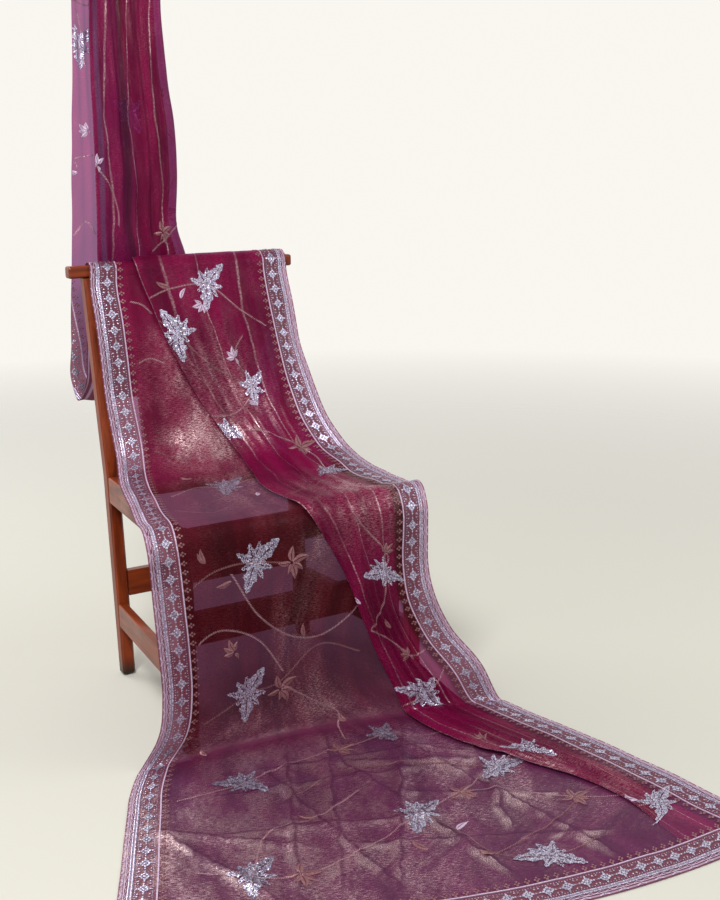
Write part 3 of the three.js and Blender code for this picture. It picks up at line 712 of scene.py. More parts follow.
# %% Glints
# Middle of each patch, its reach, and how strong it is.
SHIMMER = (
    (0.20, 0.28, 0.40, 1.00), (0.42, 0.50, 0.24, 0.90), (0.24, 0.56, 0.20, 1.00),
    (0.64, 0.28, 0.24, 0.35), (0.28, 1.50, 0.20, 0.95), (0.20, 1.72, 0.12, 0.35),
    (0.34, 1.36, 0.16, 0.90), (0.95, 0.30, 0.20, 0.30), (0.88, 1.66, 0.16, 0.30),
    (1.02, 1.20, 0.16, 0.45), (0.36, 0.88, 0.10, 0.28), (0.44, 0.72, 0.12, 0.55),
    (0.16, 0.64, 0.12, 0.60), (0.42, 1.06, 0.07, 0.30), (0.24, 1.26, 0.11, 0.60),
    (0.40, 1.24, 0.08, 0.55),
)
FAINT_SHIMMER = 0.035
GLINT_GAIN = 2.6
streaks = g.noise(g.stretched(plan, (90, 640, 1)), 1.0, 3.0, Roughness=0.7)
grain = g.noise(plan, 520.0, 1.0)
bands = g.noise(g.stretched(plan, (15, 3.0, 1)), 1.0, 3.0, Roughness=0.6)
crumple = g.noise(g.stretched(plan, (17, 13, 1)), 1.0, 5.0, Roughness=0.62)
crumpled = g.ramp(crumple, 0.42, 0.58, 0.50, 1.2)
patches = [g.ramp(g.vectors("DISTANCE", plan, (u, v, 0), output="Value"),
                  reach * 1.25, reach * 0.15, 0.0, strength) for u, v, reach, strength in SHIMMER]
shimmer = g.maths("ADD", g.most(*patches), FAINT_SHIMMER)
glint = g.times(g.ramp(streaks, 0.42, 0.66), g.ramp(grain, 0.38, 0.60, 0.25, 1.0),
                g.ramp(bands, 0.34, 0.60, 0.50, 1.25), GLINT_GAIN)
glint = g.times(glint, g.times(crumpled, shimmer), clamp=True)
print(len(SHIMMER), "patches of shimmer")

# %% [markdown]
# ## Creases in the light
#
# A crease on the floor shows as a thin dark line of painted shade, with a strip beside it that
# catches the light. Both follow the same table as the creases' form. The cloth turns too sharply
# to shine where the fall meets the floor.

# %% Creases
CREASE_REACH = 0.030
WAVER = 0.022
# Half of the waver is added to every place, so the creases' starts are moved by as much.
WAVER_MIDDLE = 11
CONTACT = LENGTH_OF["contact"] / 1000
BLACK, WHITE = (0, 0, 0, 1), (1, 1, 1, 1)
# Red is the lit strip and green is the dark line of painted shade, across a crease from one side
# to the other.
ACROSS_CREASE = ((0.0, BLACK), (0.37, BLACK), (0.45, (0, 0.7, 0, 1)), (0.49, (0, 0.6, 0, 1)),
                 (0.53, (0.9, 0, 0, 1)), (0.70, (1, 0, 0, 1)), (0.92, BLACK))
ALONG_CREASE = ((0.0, BLACK), (0.14, WHITE), (0.86, WHITE), (1.0, BLACK))

waver = g.noise(g.place(), 24.0, output="Color")
wavered = g.vectors("MULTIPLY_ADD", waver, (WAVER, WAVER, 0), g.place())
strips = []
for x0, y0, x1, y1, _, _ in FLOOR_CREASES:
    start = Vector(in_frame((x0 + WAVER_MIDDLE, y0 + WAVER_MIDDLE, 0)))
    run = Vector(((x1 - x0) / 1000, (y1 - y0) / 1000, 0))
    side = Vector((run.y, -run.x, 0)).normalized()
    from_start = g.vectors("SUBTRACT", wavered, start - side * CREASE_REACH)
    reads = [g.table(g.vectors("DOT_PRODUCT", from_start, direction, output="Value"), stops)
             for direction, stops in ((side / (2 * CREASE_REACH), ACROSS_CREASE),
                                      (run / run.length_squared, ALONG_CREASE))]
    strips.append(g.vectors("MULTIPLY", *reads))
creasing = strips[0]
for strip in strips[1:]:
    creasing = g.vectors("MAXIMUM", creasing, strip)
# The second channel is the dark line of painted shade along each crease.
lit_strip, crease_painted_shade = g.parts(creasing)[:2]
crest = g.times(lit_strip, g.ramp(grain, 0.38, 0.60, 0.20, 0.95),
                g.ramp(crumple, 0.42, 0.56, 0.15, 1.0), spread)
# Painted shade along the creases, on the spread cloth only.
flank_painted_shade = g.times(crease_painted_shade, spread)
turning = g.ramp(g.apart(along_cloth, CONTACT), 0.008, 0.040, 0.25, 1.0)
glint = g.most(g.times(glint, turning), crest)
glint = g.times(glint, g.ramp(flank_painted_shade, 0.0, 1.0, 1.0, 0.25))
print(len(strips), "creases, each lit within", round(CREASE_REACH * 1000), "mm")

# %% [markdown]
# ## Pleats and stitching
#
# The folded band glitters in lines along its pleats. One deep pleat of the hanging length is
# painted almost brown, as painted shade in its hollow, and the one at the fold mauve. Rows of
# machine stitching run along the border and show on both sides of the cloth.

# %% Lines along the cloth
# Place across the band, and half-width.
PLEAT_LINES = ((0.005, 0.008), (0.20, 0.017), (0.50, 0.008), (0.84, 0.015))
# Distance from the edge, and half-width, in metres.
STITCHED_ROWS = ((0.0045, 0.0022), (0.018, 0.0042), (0.0595, 0.0016), (0.039, 0.0008))
LEAST_BAND = 0.02

band_width = g.most(g.maths("SUBTRACT", past_fold, past_hinge), LEAST_BAND)
share = g.maths("DIVIDE", past_fold, band_width)
wander = g.node("TexNoise", noise_dimensions="1D", W=along_cloth, Scale=2.6, Detail=3.0).outputs[0]
bent_share = g.maths("MULTIPLY_ADD", g.ramp(wander, 0.2, 0.8), 0.16, share)
bent_share = g.maths("SUBTRACT", bent_share, 0.08)
speckle = g.noise(plan, 240.0, 3.0)
lines = [g.ramp(g.apart(bent_share if number else share, at), half * 0.35, half, 1.0, 0.0)
         for number, (at, half) in enumerate(PLEAT_LINES)]
fold_glint = g.times(g.most(*lines), g.ramp(speckle, 0.42, 0.60, 0.22, 0.9),
                     g.ramp(bands, 0.36, 0.56, 0.35, 1.0))
stitched = g.most(*[g.ramp(g.apart(nearest, inward), half, half * 0.7)
                    for inward, half in STITCHED_ROWS])
hanging = g.ramp(along_cloth, 2.45, 2.60)
# Painted shade: the hollow of one deep pleat is darkened almost to brown.
fold_painted_shade = g.times(g.ramp(g.apart(share, 0.41), 0.02, 0.055, 0.8, 0.0), hanging)
mauve = g.times(g.ramp(g.apart(share, 0.085), 0.022, 0.034, 0.75, 0.0), hanging)
print(len(PLEAT_LINES), "pleat lines and", len(STITCHED_ROWS), "rows of stitching")

# %% [markdown]
# ## The layers of the cloth
#
# Last, the parts are put together: crimson thread with its bumps of weave and wrinkles, metallic
# thread over it, and the clear cloth that shows between them.

# %% The organza
# Painted light and shade: the thread colour is lightened and darkened along soft bands, and
# darkened on the creases' dark lines.
painted_light_and_shade = g.times(g.ramp(bands, 0.34, 0.66, 0.66, 1.35), g.ramp(flank_painted_shade, 0.0, 1.0, 1.0, 0.50))
wrinkles = g.bump(crumple, 0.55, 0.006)
weave = g.bump(streaks, 0.25, 0.0006, Normal=wrinkles)
ground = g.blend(spread, CRIMSON, CRIMSON_SPREAD)
ground = g.blend(painted_shade, ground, CRIMSON_PAINTED_SHADE)
ground = g.blend(fold_painted_shade, ground, FOLD_PAINTED_SHADE)
ground = g.blend(mauve, ground, MAUVE_PLEAT)
ground = g.vectors("SCALE", ground, Scale=painted_light_and_shade)
ground = g.blend(in_border, ground, BORDER_GROUND)
threads = g.node("BsdfPrincipled", Base_Color=g.blend(stitched, ground, STITCHING), Roughness=0.42,
                 Specular_IOR_Level=0.08, Sheen_Weight=0.05, Sheen_Roughness=0.4,
                 Sheen_Tint=(0.9, 0.45, 0.6, 1), Normal=weave).outputs[0]
metal = g.node("BsdfPrincipled", Base_Color=ZARI, Metallic=1.0, Roughness=0.38,
               Normal=weave).outputs[0]
metal_share = g.most(g.maths("MULTIPLY_ADD", glint, 0.95, 0.004), g.times(fold_glint, 0.85),
                     clamp=True)
metal_share = g.most(metal_share, g.times(in_border, 0.06))
tint = g.blend(painted_shade, g.blend(spread, CLEAR_TINT, CLEAR_SPREAD), CLEAR_PAINTED_SHADE)
clear = g.node("BsdfTransparent", g.blend(in_border, tint, BORDER_TINT)).outputs[0]
cover = g.most(g.maths("MULTIPLY_ADD", glint, 0.45, 0.50), g.times(in_border, 0.62),
               g.times(stitched, 0.85), g.times(fold_glint, 0.9), clamp=True)
saree.data.materials.append(g.finish(g.layers(cover, clear, g.layers(metal_share, threads, metal))))
print("organza has", len(g.nodes), "nodes")


# %% [markdown]
# ## Needlework: laying flat shapes on the cloth
#
# All the ornament is sewn flat on the organza, so each piece of it is drawn on paper first, in
# millimetres, and then laid on the cloth at some spot. The cloth's rows fan out and close up, so
# the drawing is carried over by the two directions of the surface at that spot, which keeps its
# shape and its size. A whole finish's worth of shapes is gathered and made in one go.

# %% Gathering shapes and laying them
PROBE_STEP = 1.5
LEAST_STRETCH = 0.3
random.seed(41)


def surface_frames(along, lengths):
    """How the surface is stretched, slanted and lengthened at spots of the cloth."""
    here = cloth_points(along, lengths)
    across = (cloth_points(along + PROBE_STEP, lengths) - here) / PROBE_STEP
    onward = (cloth_points(along, lengths + PROBE_STEP) - here) / PROBE_STEP
    stretch = np.linalg.norm(across, axis=1)
    right = across / stretch[:, None]
    lean = np.sum(onward * right, axis=1)
    rise = np.linalg.norm(onward - lean[:, None] * right, axis=1)
    return stretch, lean, rise


def moved(faces, count):
    """Faces whose points have had others put before them."""
    return [tuple(i + count for i in face) for face in faces]


class Needlework:
    """Flat shapes of one finish, kept as spots of the cloth until all are drawn."""

    def __init__(self, name, material):
        self.name, self.material = name, material
        self.places, self.drawings, self.faces, self.count = [], [], [], 0

    def add(self, place, points, faces, turn=0.0, scale=1.0, mirror=False):
        """A drawing at a place: points are across, along and above the cloth, in millimetres."""
        points = np.asarray(points, dtype=float).reshape(-1, 3).copy()
        if mirror:
            points[:, 0] *= -1
            faces = [tuple(reversed(face)) for face in faces]
        c, s = math.cos(turn), math.sin(turn)
        turned = points.copy()
        turned[:, 0] = (c * points[:, 0] - s * points[:, 1]) * scale
        turned[:, 1] = (s * points[:, 0] + c * points[:, 1]) * scale
        self.keep(np.repeat([place], len(points), axis=0), turned, faces)

    def add_at(self, spots, heights, faces):
        """Corners given as spots of the cloth: distance along, length, and height above it."""
        self.keep(spots, np.stack([0 * heights, 0 * heights, heights], axis=1), faces)

    def keep(self, places, drawing, faces):
        self.places.append(np.asarray(places, dtype=float))
        self.drawings.append(drawing)
        self.faces += moved(faces, self.count)
        self.count += len(drawing)

    def make(self):
        places = np.concatenate(self.places)
        drawing = np.concatenate(self.drawings)
        spots, where = np.unique(places, axis=0, return_inverse=True)
        stretch, lean, rise = (f[where.ravel()] for f in surface_frames(spots[:, 0], spots[:, 1]))
        onward = drawing[:, 1] / np.maximum(rise, LEAST_STRETCH)
        lengths = places[:, 1] + onward
        along = places[:, 0] + (drawing[:, 0] - onward * lean) / np.maximum(stretch, LEAST_STRETCH)
        # What would hang over an edge of the cloth is left out.
        on_cloth = ((along > 0) & (along < full_width(lengths))
                    & (lengths > 0) & (lengths < SAREE_LENGTH))
        self.faces = [face for face in self.faces if all(on_cloth[i] for i in face)]
        points = cloth_points(along, lengths, lift=drawing[:, 2])
        mesh = bpy.data.meshes.new(self.name)
        mesh.from_pydata(in_frame(points).tolist(), [], self.faces)
        mesh.materials.append(self.material)
        thing = bpy.data.objects.new(self.name, mesh)
        bpy.context.collection.objects.link(thing)
        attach(thing, "root")
        print(self.name, "has", len(self.faces), "faces")
        return thing


# %% [markdown]
# ## Thread and sequins
#
# The leaves are filled with tiny silver sequins that each lie at their own tilt, so they glitter.
# The cords are couched silver thread with a mauve cast, and the flowers are satin stitch in a
# dusty copper silk. Each finish varies a little from place to place, as worn thread does.

# %% Finishes of the needlework
def thread_material(name, light, dark, metallic, roughness, scale, low=0.38, high=0.62):
    graph = new_graph(name)
    mottle = graph.noise(graph.place(), scale, 3.0, Roughness=0.7)
    thread = graph.node(
        "BsdfPrincipled", Metallic=metallic,
        Base_Color=graph.blend(graph.ramp(mottle, low, high), dark, light),
        Roughness=graph.ramp(mottle, 0.3, 0.7, roughness - 0.08, roughness + 0.12),
        Normal=graph.bump(mottle, 0.5, 0.0005))
    return graph.finish(thread.outputs[0])


sequin_silver = thread_material("sequin_silver", (0.80, 0.79, 1.0, 1), (0.26, 0.23, 0.36, 1),
                                0.8, 0.30, 420.0, 0.46, 0.58)
cord_silver = thread_material("cord_silver", (0.48, 0.30, 0.34, 1), (0.22, 0.09, 0.12, 1),
                              0.35, 0.42, 500.0)
lilac_white = thread_material("lilac_white", (0.58, 0.48, 0.63, 1), (0.33, 0.22, 0.35, 1),
                              0.15, 0.45, 500.0)
copper_silk = thread_material("copper_silk", (0.30, 0.14, 0.155, 1), (0.12, 0.035, 0.05, 1),
                              0.3, 0.42, 520.0)
finishes = (sequin_silver, cord_silver, lilac_white, copper_silk)
print("finishes:", ", ".join(material.name for material in finishes))

# %% [markdown]
# ## Sequinned leaves
#
# Each spray is a cluster of pointed, toothed lobes around one middle, like a vine leaf seen with
# its buds. A lobe is drawn by its direction, length and width; sequins fill it row by row and leave
# a thin gap for its rib.

# %% Leaf drawings
# Lobes of a cluster: direction in degrees, length, width, and distance of its root from the middle.
VINE_LEAF = (
    (36, 68, 27, 2), (72, 40, 15, 4), (104, 38, 14, 4), (146, 42, 16, 2),
    (250, 60, 28, 2), (296, 34, 14, 4), (338, 38, 15, 3), (196, 26, 11, 4),
)
# A smaller cluster of another habit.
IVY_LEAF = (
    (30, 52, 23, 2), (82, 46, 18, 2), (138, 42, 17, 2),
    (200, 30, 13, 2), (252, 54, 24, 2), (314, 36, 15, 2),
)
SEQUIN = 1.45
SEQUIN_PITCH = 2.75
SEQUIN_LIFT = 1.1
RIB = 1.1


def lobe_width(share):
    """Half-width of a lobe as a share of its own: full near its foot and pointed at its tip."""
    return math.sin(math.pi * min(share, 1) ** 0.72) ** 0.85 if share < 1 else 0


def in_leaf(x, y, lobes):
    for degrees, length, width, root in lobes:
        c, s = math.cos(math.radians(degrees)), math.sin(math.radians(degrees))
        forward = x * c + y * s - root
        aside = abs(-x * s + y * c)
        share = forward / length
        if 0 <= share < 1:
            teeth = 1 + 0.17 * math.sin(share * 17)
            on_rib = aside < RIB and 0.12 < share < 0.8
            if aside < width / 2 * lobe_width(share) * teeth and not on_rib:
                return True
    return math.hypot(x, y) < 3.5


def sequin(x, y):
    """A six-sided sequin, tilted at random."""
    tilt, way = random.uniform(0.05, 0.34), random.uniform(0, 2 * math.pi)
    start = random.uniform(0, 1)
    points = []
    for i in range(6):
        a = start + i * math.pi / 3
        dx, dy = SEQUIN * math.cos(a), SEQUIN * math.sin(a)
        lift = SEQUIN_LIFT + tilt * (dx * math.cos(way) + dy * math.sin(way))
        points.append((x + dx, y + dy, lift))
    return points


def leaf_drawing(lobes):
    points, faces = [], []
    reach = max(length + root for _, length, _, root in lobes)
    count = int(reach / SEQUIN_PITCH) + 1
    for row in range(-count, count + 1):
        for column in range(-count, count + 1):
            x = (column + 0.5 * (row % 2)) * SEQUIN_PITCH + random.uniform(-0.4, 0.4)
            y = row * SEQUIN_PITCH * 0.87 + random.uniform(-0.4, 0.4)
            if in_leaf(x, y, lobes):
                faces.append(tuple(range(len(points), len(points) + 6)))
                points += sequin(x, y)
    return points, faces


# %% [markdown]
# ## Silk flowers, buds and cords
#
# A petal is satin stitch: it swells from its foot and ends in a point, with a ridge along its
# middle where the stitches meet. Cords are couched down by slanting stitches, so each is drawn as a
# line of small slanted dashes.

# %% Petals and cords
def petal(length, width, crown=1.6, parts=6):
    """A pointed petal from its foot at (0, 0) along +X, domed by crown."""
    points, faces = [], []
    for i in range(parts + 1):
        share = i / parts
        half = width / 2 * max(lobe_width(max(share, 0.02)), 0.04)
        bend = 0.10 * length * math.sin(share * math.pi * 0.9)
        for side, up in ((-1, 0.5), (-0.12, crown), (0.12, crown), (1, 0.5)):
            points.append((share * length, side * half + bend, up))
    for i in range(parts):
        for j in (0, 2):
            a = i * 4 + j
            faces.append((a, a + 4, a + 5, a + 1))
    return points, faces


def flower_drawing(petals):
    """Petals around a middle: direction in degrees, length and width of each."""
    points, faces = [], []
    for degrees, length, width in petals:
        drawn, made = petal(length, width)
        c, s = math.cos(math.radians(degrees)), math.sin(math.radians(degrees))
        faces += moved(made, len(points))
        points += [(3 * c + x * c - y * s, 3 * s + x * s + y * c, z) for x, y, z in drawn]
    return points, faces


FLOWER_SHAPES = {kind: flower_drawing(petals) for kind, petals in {
    "star": ((8, 38, 15), (78, 30, 14), (172, 26, 11), (245, 20, 9), (278, 32, 15), (322, 28, 12)),
    "bell": ((60, 30, 13), (100, 26, 12), (140, 24, 11), (20, 22, 10), (245, 18, 8)),
    "bud": ((84, 30, 10), (100, 27, 8)),
    "leaflet": ((90, 36, 12),),
}.items()}


def smooth_path(points, spacing):
    """Evenly spaced places and directions along a smooth curve through a few spots of the cloth."""
    points = np.asarray(points, dtype=float)
    padded = np.vstack([2 * points[0] - points[1], points, 2 * points[-1] - points[-2]])
    fine = []
    for i in range(1, len(padded) - 2):
        p0, p1, p2, p3 = padded[i - 1:i + 3]
        for t in np.linspace(0, 1, 24, endpoint=False):
            fine.append(0.5 * (2 * p1 + (p2 - p0) * t + (2 * p0 - 5 * p1 + 4 * p2 - p3) * t**2
                               + (3 * p1 - p0 - 3 * p2 + p3) * t**3))
    fine = np.array(fine + [points[-1]])
    real = cloth_points(fine[:, 0], fine[:, 1])
    travelled = np.concatenate([[0], np.cumsum(np.linalg.norm(np.diff(real, axis=0), axis=1))])
    stops = np.arange(0, travelled[-1], spacing)
    places = np.stack([np.interp(stops, travelled, fine[:, k]) for k in (0, 1)], axis=1)
    stretch, lean, rise = surface_frames(places[:, 0], places[:, 1])
    steps = np.gradient(places, axis=0) if len(places) > 1 else np.array([[1.0, 0.0]])
    heading = np.arctan2(steps[:, 1] * rise, steps[:, 0] * stretch + steps[:, 1] * lean)
    return places, heading


def dash(length, width, slant, crown=1.5):
    """One slanted stitch of a cord, thicker in its middle."""
    c, s = math.cos(slant), math.sin(slant)
    outline = ((-length / 2, 0, 0.4), (0, -width / 2, crown),
               (length / 2, 0, 0.4), (0, width / 2, crown))
    return [(x * c - y * s, x * s + y * c, z) for x, y, z in outline], [(0, 1, 2, 3)]


def on_field(places):
    """Whether spots lie clear of the borders."""
    along, lengths = places[:, 0], places[:, 1]
    left = along + BORDER - size_at("border", lengths)
    clear = BORDER + 2
    return (left > clear) & (along < full_width(lengths) - clear) & (lengths > clear)


def rope(work, points, width=4.4, spacing=3.8):
    """A couched cord along a curve, ending at the borders."""
    places, heading = smooth_path(points, spacing)
    drawn, faces = dash(width * 1.7, width * 0.46, math.radians(46))
    for place, way, kept in zip(places, heading, on_field(places)):
        if kept:
            work.add(place, drawn, faces, turn=way)


print("faces in each flower:", {kind: len(shape[1]) for kind, shape in FLOWER_SHAPES.items()})
sequins = Needlework("sequin_leaves", sequin_silver)
cords = Needlework("couched_cords", cord_silver)
whites = Needlework("white_buds", lilac_white)
silks = Needlework("silk_flowers", copper_silk)

# %% [markdown]
# ## Where the sprays lie
#
# The sprays run up the cloth in a loose half-drop repeat. Each has a sequinned leaf, a silk flower
# or two beside it, buds, and cords that swing off to the next spray. A spot of the cloth is given
# by its distance from the left edge along the cloth, folds and all, and from the floor end.

# %% Sprays that show
# Leaf clusters: along, length, turn in degrees, scale, mirrored, which leaf.
LEAVES = (
    (918, 1922, 10, 0.95, False, "vine"), (782, 1814, -25, 1.0, True, "vine"),
    (846, 1682, 20, 0.85, False, "ivy"), (702, 1578, 40, 0.75, True, "ivy"),
    (222, 1350, 0, 0.95, False, "vine"), (934, 1358, -20, 0.85, False, "ivy"),
    (770, 974, 35, 0.95, True, "vine"), (210, 1042, 0, 1.0, False, "vine"),
    (174, 786, 20, 1.0, False, "vine"), (802, 698, 10, 1.0, True, "vine"),
    (502, 590, 30, 0.9, False, "ivy"), (1090, 418, 10, 0.9, True, "vine"),
    (690, 390, -30, 0.95, False, "vine"), (214, 494, 15, 0.95, True, "vine"),
    (506, 290, 0, 1.0, False, "vine"), (702, 118, 25, 1.0, True, "vine"),
    (1046, 170, 0, 0.9, False, "vine"), (206, 174, 20, 1.0, False, "vine"),
    (14, 3098, 20, 0.9, False, "ivy"),
    # on the lengths that the chair and the folds half hide
    (300, 2200, 15, 0.95, False, "vine"), (180, 2110, -20, 0.9, True, "ivy"),
    (700, 2250, 30, 0.9, False, "vine"), (60, 2560, 0, 0.9, False, "ivy"),
    (640, 2740, 20, 0.85, True, "ivy"), (300, 2960, -10, 0.85, False, "vine"),
    (640, 3130, 20, 0.8, True, "ivy"),
)
# Flowers: along, length, turn, scale, silk or white, which flower.
FLOWERS = (
    (286, 1030, 0, 1.0, "silk", "star"), (246, 782, 20, 1.0, "silk", "star"),
    (870, 1750, 40, 0.85, "white", "bell"), (854, 1510, 10, 0.95, "silk", "star"),
    (150, 886, 50, 0.85, "silk", "bell"), (406, 562, 10, 0.9, "silk", "star"),
    (34, 2922, 80, 0.75, "white", "bell"), (414, 2850, 30, 0.75, "white", "bell"),
    (1038, 486, 20, 0.8, "silk", "bell"), (838, 1014, -20, 0.75, "silk", "bell"),
    (282, 166, 0, 1.0, "silk", "star"), (670, 786, 60, 0.75, "silk", "bell"),
    (600, 330, 30, 0.9, "silk", "star"), (330, 1400, 10, 0.9, "silk", "bell"),
    (800, 250, 0, 0.9, "silk", "star"), (880, 1880, 130, 0.85, "white", "bell"),
    (380, 2180, 0, 0.9, "silk", "star"), (250, 2080, 40, 0.9, "silk", "bell"),
    (760, 2290, 10, 0.8, "silk", "star"),
    (560, 2700, 10, 0.8, "silk", "star"), (600, 3000, 40, 0.8, "silk", "bell"),
)
# Buds and leaflets: along, length, turn, scale, finish, which.
BUDS = (
    (110, 1058, 20, 1.0, "silk", "bud"), (160, 1018, 100, 0.9, "silk", "leaflet"),
    (834, 1894, -40, 0.8, "white", "leaflet"), (830, 1922, 60, 0.9, "silk", "leaflet"),
    (774, 1562, 30, 0.8, "silk", "bud"), (634, 918, 10, 0.8, "white", "bud"),
    (14, 2834, 80, 0.8, "white", "bud"), (1070, 190, 40, 0.9, "white", "leaflet"),
    (502, 190, 30, 1.0, "silk", "leaflet"), (300, 880, 0, 0.8, "silk", "leaflet"),
    (560, 230, -60, 1.0, "white", "leaflet"), (610, 150, 60, 0.9, "silk", "bud"),
    (330, 330, 60, 0.9, "silk", "leaflet"), (640, 850, 20, 0.8, "silk", "bud"),
    (820, 1640, 70, 0.8, "white", "bud"), (740, 1740, 110, 0.8, "silk", "leaflet"),
    (160, 1420, 60, 0.8, "silk", "bud"), (280, 1290, 160, 0.8, "white", "leaflet"),
    (430, 660, 40, 0.8, "silk", "bud"), (140, 640, 20, 0.8, "silk", "leaflet"),
    (300, 2130, 30, 0.9, "white", "leaflet"), (330, 2260, 80, 0.9, "silk", "bud"),
)
# Cords: spots of the cloth that each passes through.
CORDS = (
    ((60, 1010), (120, 1040), (190, 1046), (286, 1030)),
    ((160, 1030), (210, 940), (300, 880), (400, 900), (470, 960)),
    ((40, 890), (120, 930), (200, 900), (250, 820)),
    ((90, 740), (174, 786), (246, 800), (330, 860), (420, 820)),
    ((250, 790), (330, 740), (400, 690), (420, 600)),
    ((90, 470), (214, 494), (320, 540), (406, 562), (502, 590)),
    ((310, 420), (400, 470), (520, 460), (690, 390)),
    ((120, 200), (206, 174), (282, 166), (400, 220), (506, 290)),
    ((506, 290), (600, 330), (700, 300), (800, 250)),
    ((506, 290), (560, 230), (610, 150), (702, 118), (800, 130)),
    ((800, 250), (900, 220), (980, 200), (1046, 170)),
    ((600, 330), (700, 400), (790, 425), (860, 380)),
    ((610, 150), (740, 200), (850, 265), (950, 230)),
    ((502, 590), (590, 560), (690, 570), (720, 500)),
    ((206, 174), (240, 300), (330, 330), (420, 400)),
    ((1040, 330), (1090, 418), (1060, 500), (1010, 560)),
    ((730, 610), (802, 698), (740, 780), (670, 786), (600, 860)),
    ((600, 860), (690, 920), (770, 974), (838, 1014), (900, 1100)),
    ((650, 1100), (740, 1180), (860, 1230), (940, 1300)),
    ((934, 1358), (900, 1450), (854, 1510), (780, 1560), (702, 1578)),
    ((640, 1640), (740, 1620), (846, 1682), (870, 1750), (930, 1800)),
    ((700, 1890), (760, 1850), (782, 1814), (800, 1740), (846, 1682)),
    ((760, 1900), (830, 1920), (918, 1922), (960, 1860), (1000, 1820)),
    ((100, 1340), (160, 1360), (222, 1350), (330, 1400), (290, 1500)),
    ((90, 1560), (160, 1520), (240, 1540), (210, 1620)),
    ((85, 1760), (110, 1766), (140, 1752)), ((85, 1900), (110, 1890), (130, 1868)),
    ((90, 1240), (150, 1200), (230, 1220), (310, 1180)),
    ((4, 2700), (30, 2730), (55, 2700)), ((10, 2846), (40, 2870), (400, 2880)),
    ((2, 3190), (34, 3180), (50, 3210)), ((10, 3170), (20, 3120), (14, 3098), (30, 3050)),
    ((410, 2850), (440, 2800), (450, 2720)), ((200, 2060), (260, 2120), (300, 2200), (380, 2180)),
    ((300, 2200), (330, 2280), (260, 2350), (180, 2400)),
    ((560, 2660), (600, 2720), (640, 2740), (620, 2820)),
    ((610, 2900), (640, 2960), (600, 3000), (620, 3080)),
)
leaf_shapes = {"vine": leaf_drawing(VINE_LEAF), "ivy": leaf_drawing(IVY_LEAF)}
works = {"silk": silks, "white": whites}
for along, length, turn, scale, mirror, kind in LEAVES:
    sequins.add((along, length), *leaf_shapes[kind], turn=math.radians(turn), scale=scale,
                mirror=mirror)
for along, length, turn, scale, finish, kind in FLOWERS + BUDS:
    works[finish].add((along, length), *FLOWER_SHAPES[kind], turn=math.radians(turn), scale=scale)
for number, points in enumerate(CORDS):
    rope(silks if number % 3 == 0 else cords, points)
print(len(LEAVES), "leaf clusters,", len(FLOWERS), "flowers,", len(CORDS), "cords")

# %% [markdown]
# ## The border
#
# The border is a strip worked by machine, so it repeats exactly: from the edge inwards, a cord in
# scallops over a dark gap, two rows of beads, a row of silver diamonds on rose, a straight cord,
# and a row of little picots. One repeat is 35 mm long. It is drawn once, lying along +Y with the
# edge at X = 0, and laid again and again along both edges and across the end.

# %% One repeat of the border
REPEAT = 35.0
DIAMONDS = 39.0
STRAIGHT_CORD = 59.5
# Discs of one diamond, and the picots on one stem: across, along and radius.
DIAMOND = (
    (0, 0, 3.6), (0, 8, 2.9), (0, -8, 2.9), (6.6, 0, 3.0), (-6.6, 0, 3.0),
    (4.0, 4.6, 2.6), (-4.0, 4.6, 2.6), (4.0, -4.6, 2.6), (-4.0, -4.6, 2.6),
    (0, 13.4, 1.9), (0, -13.4, 1.9), (11, 0, 1.8), (-11, 0, 1.8),
    (9.6, 14, 1.6), (-9.6, 14, 1.6), (9.6, -14, 1.6), (-9.6, -14, 1.6),
)
PICOT = ((5, 0, 2.7), (9, 3.2, 2.3), (9, -3.2, 2.3), (13.5, 0, 2.2))


def strip_of(points, width, lift=0.9):
    """A narrow band of quads along a line of points."""
    points = np.asarray(points, dtype=float)
    steps = np.gradient(points, axis=0)
    sides = np.stack([-steps[:, 1], steps[:, 0]], axis=1)
    sides /= np.linalg.norm(sides, axis=1)[:, None]
    line = []
    for p, side in zip(points, sides):
        line += [(*(p - side * width / 2), lift), (*(p + side * width / 2), lift)]
    return line, [(2 * i, 2 * i + 2, 2 * i + 3, 2 * i + 1) for i in range(len(points) - 1)]


def disc(x, y, radius, lift=0.9, sides=6, crown=0.5):
    angles = [2 * math.pi * i / sides for i in range(sides)]
    ring = [(x + radius * math.cos(angle), y + radius * math.sin(angle), lift) for angle in angles]
    return ring + [(x, y, lift + crown)], [(i, (i + 1) % sides, sides) for i in range(sides)]


def gather(shapes):
    points, faces = [], []
    for drawn, made in shapes:
        faces += moved(made, len(points))
        points += list(drawn)
    return points, faces


def scallop(depth, start, end, parts=8):
    """A loop of cord that bows outwards, towards the edge."""
    return [(depth * (1 - math.sin(math.pi * t)) + 1.0, start + (end - start) * t)
            for t in np.linspace(0.02, 0.98, parts + 1)]


def straight(inward, width, **lift):
    return strip_of([(inward, y) for y in np.linspace(0, REPEAT, 3)], width, **lift)


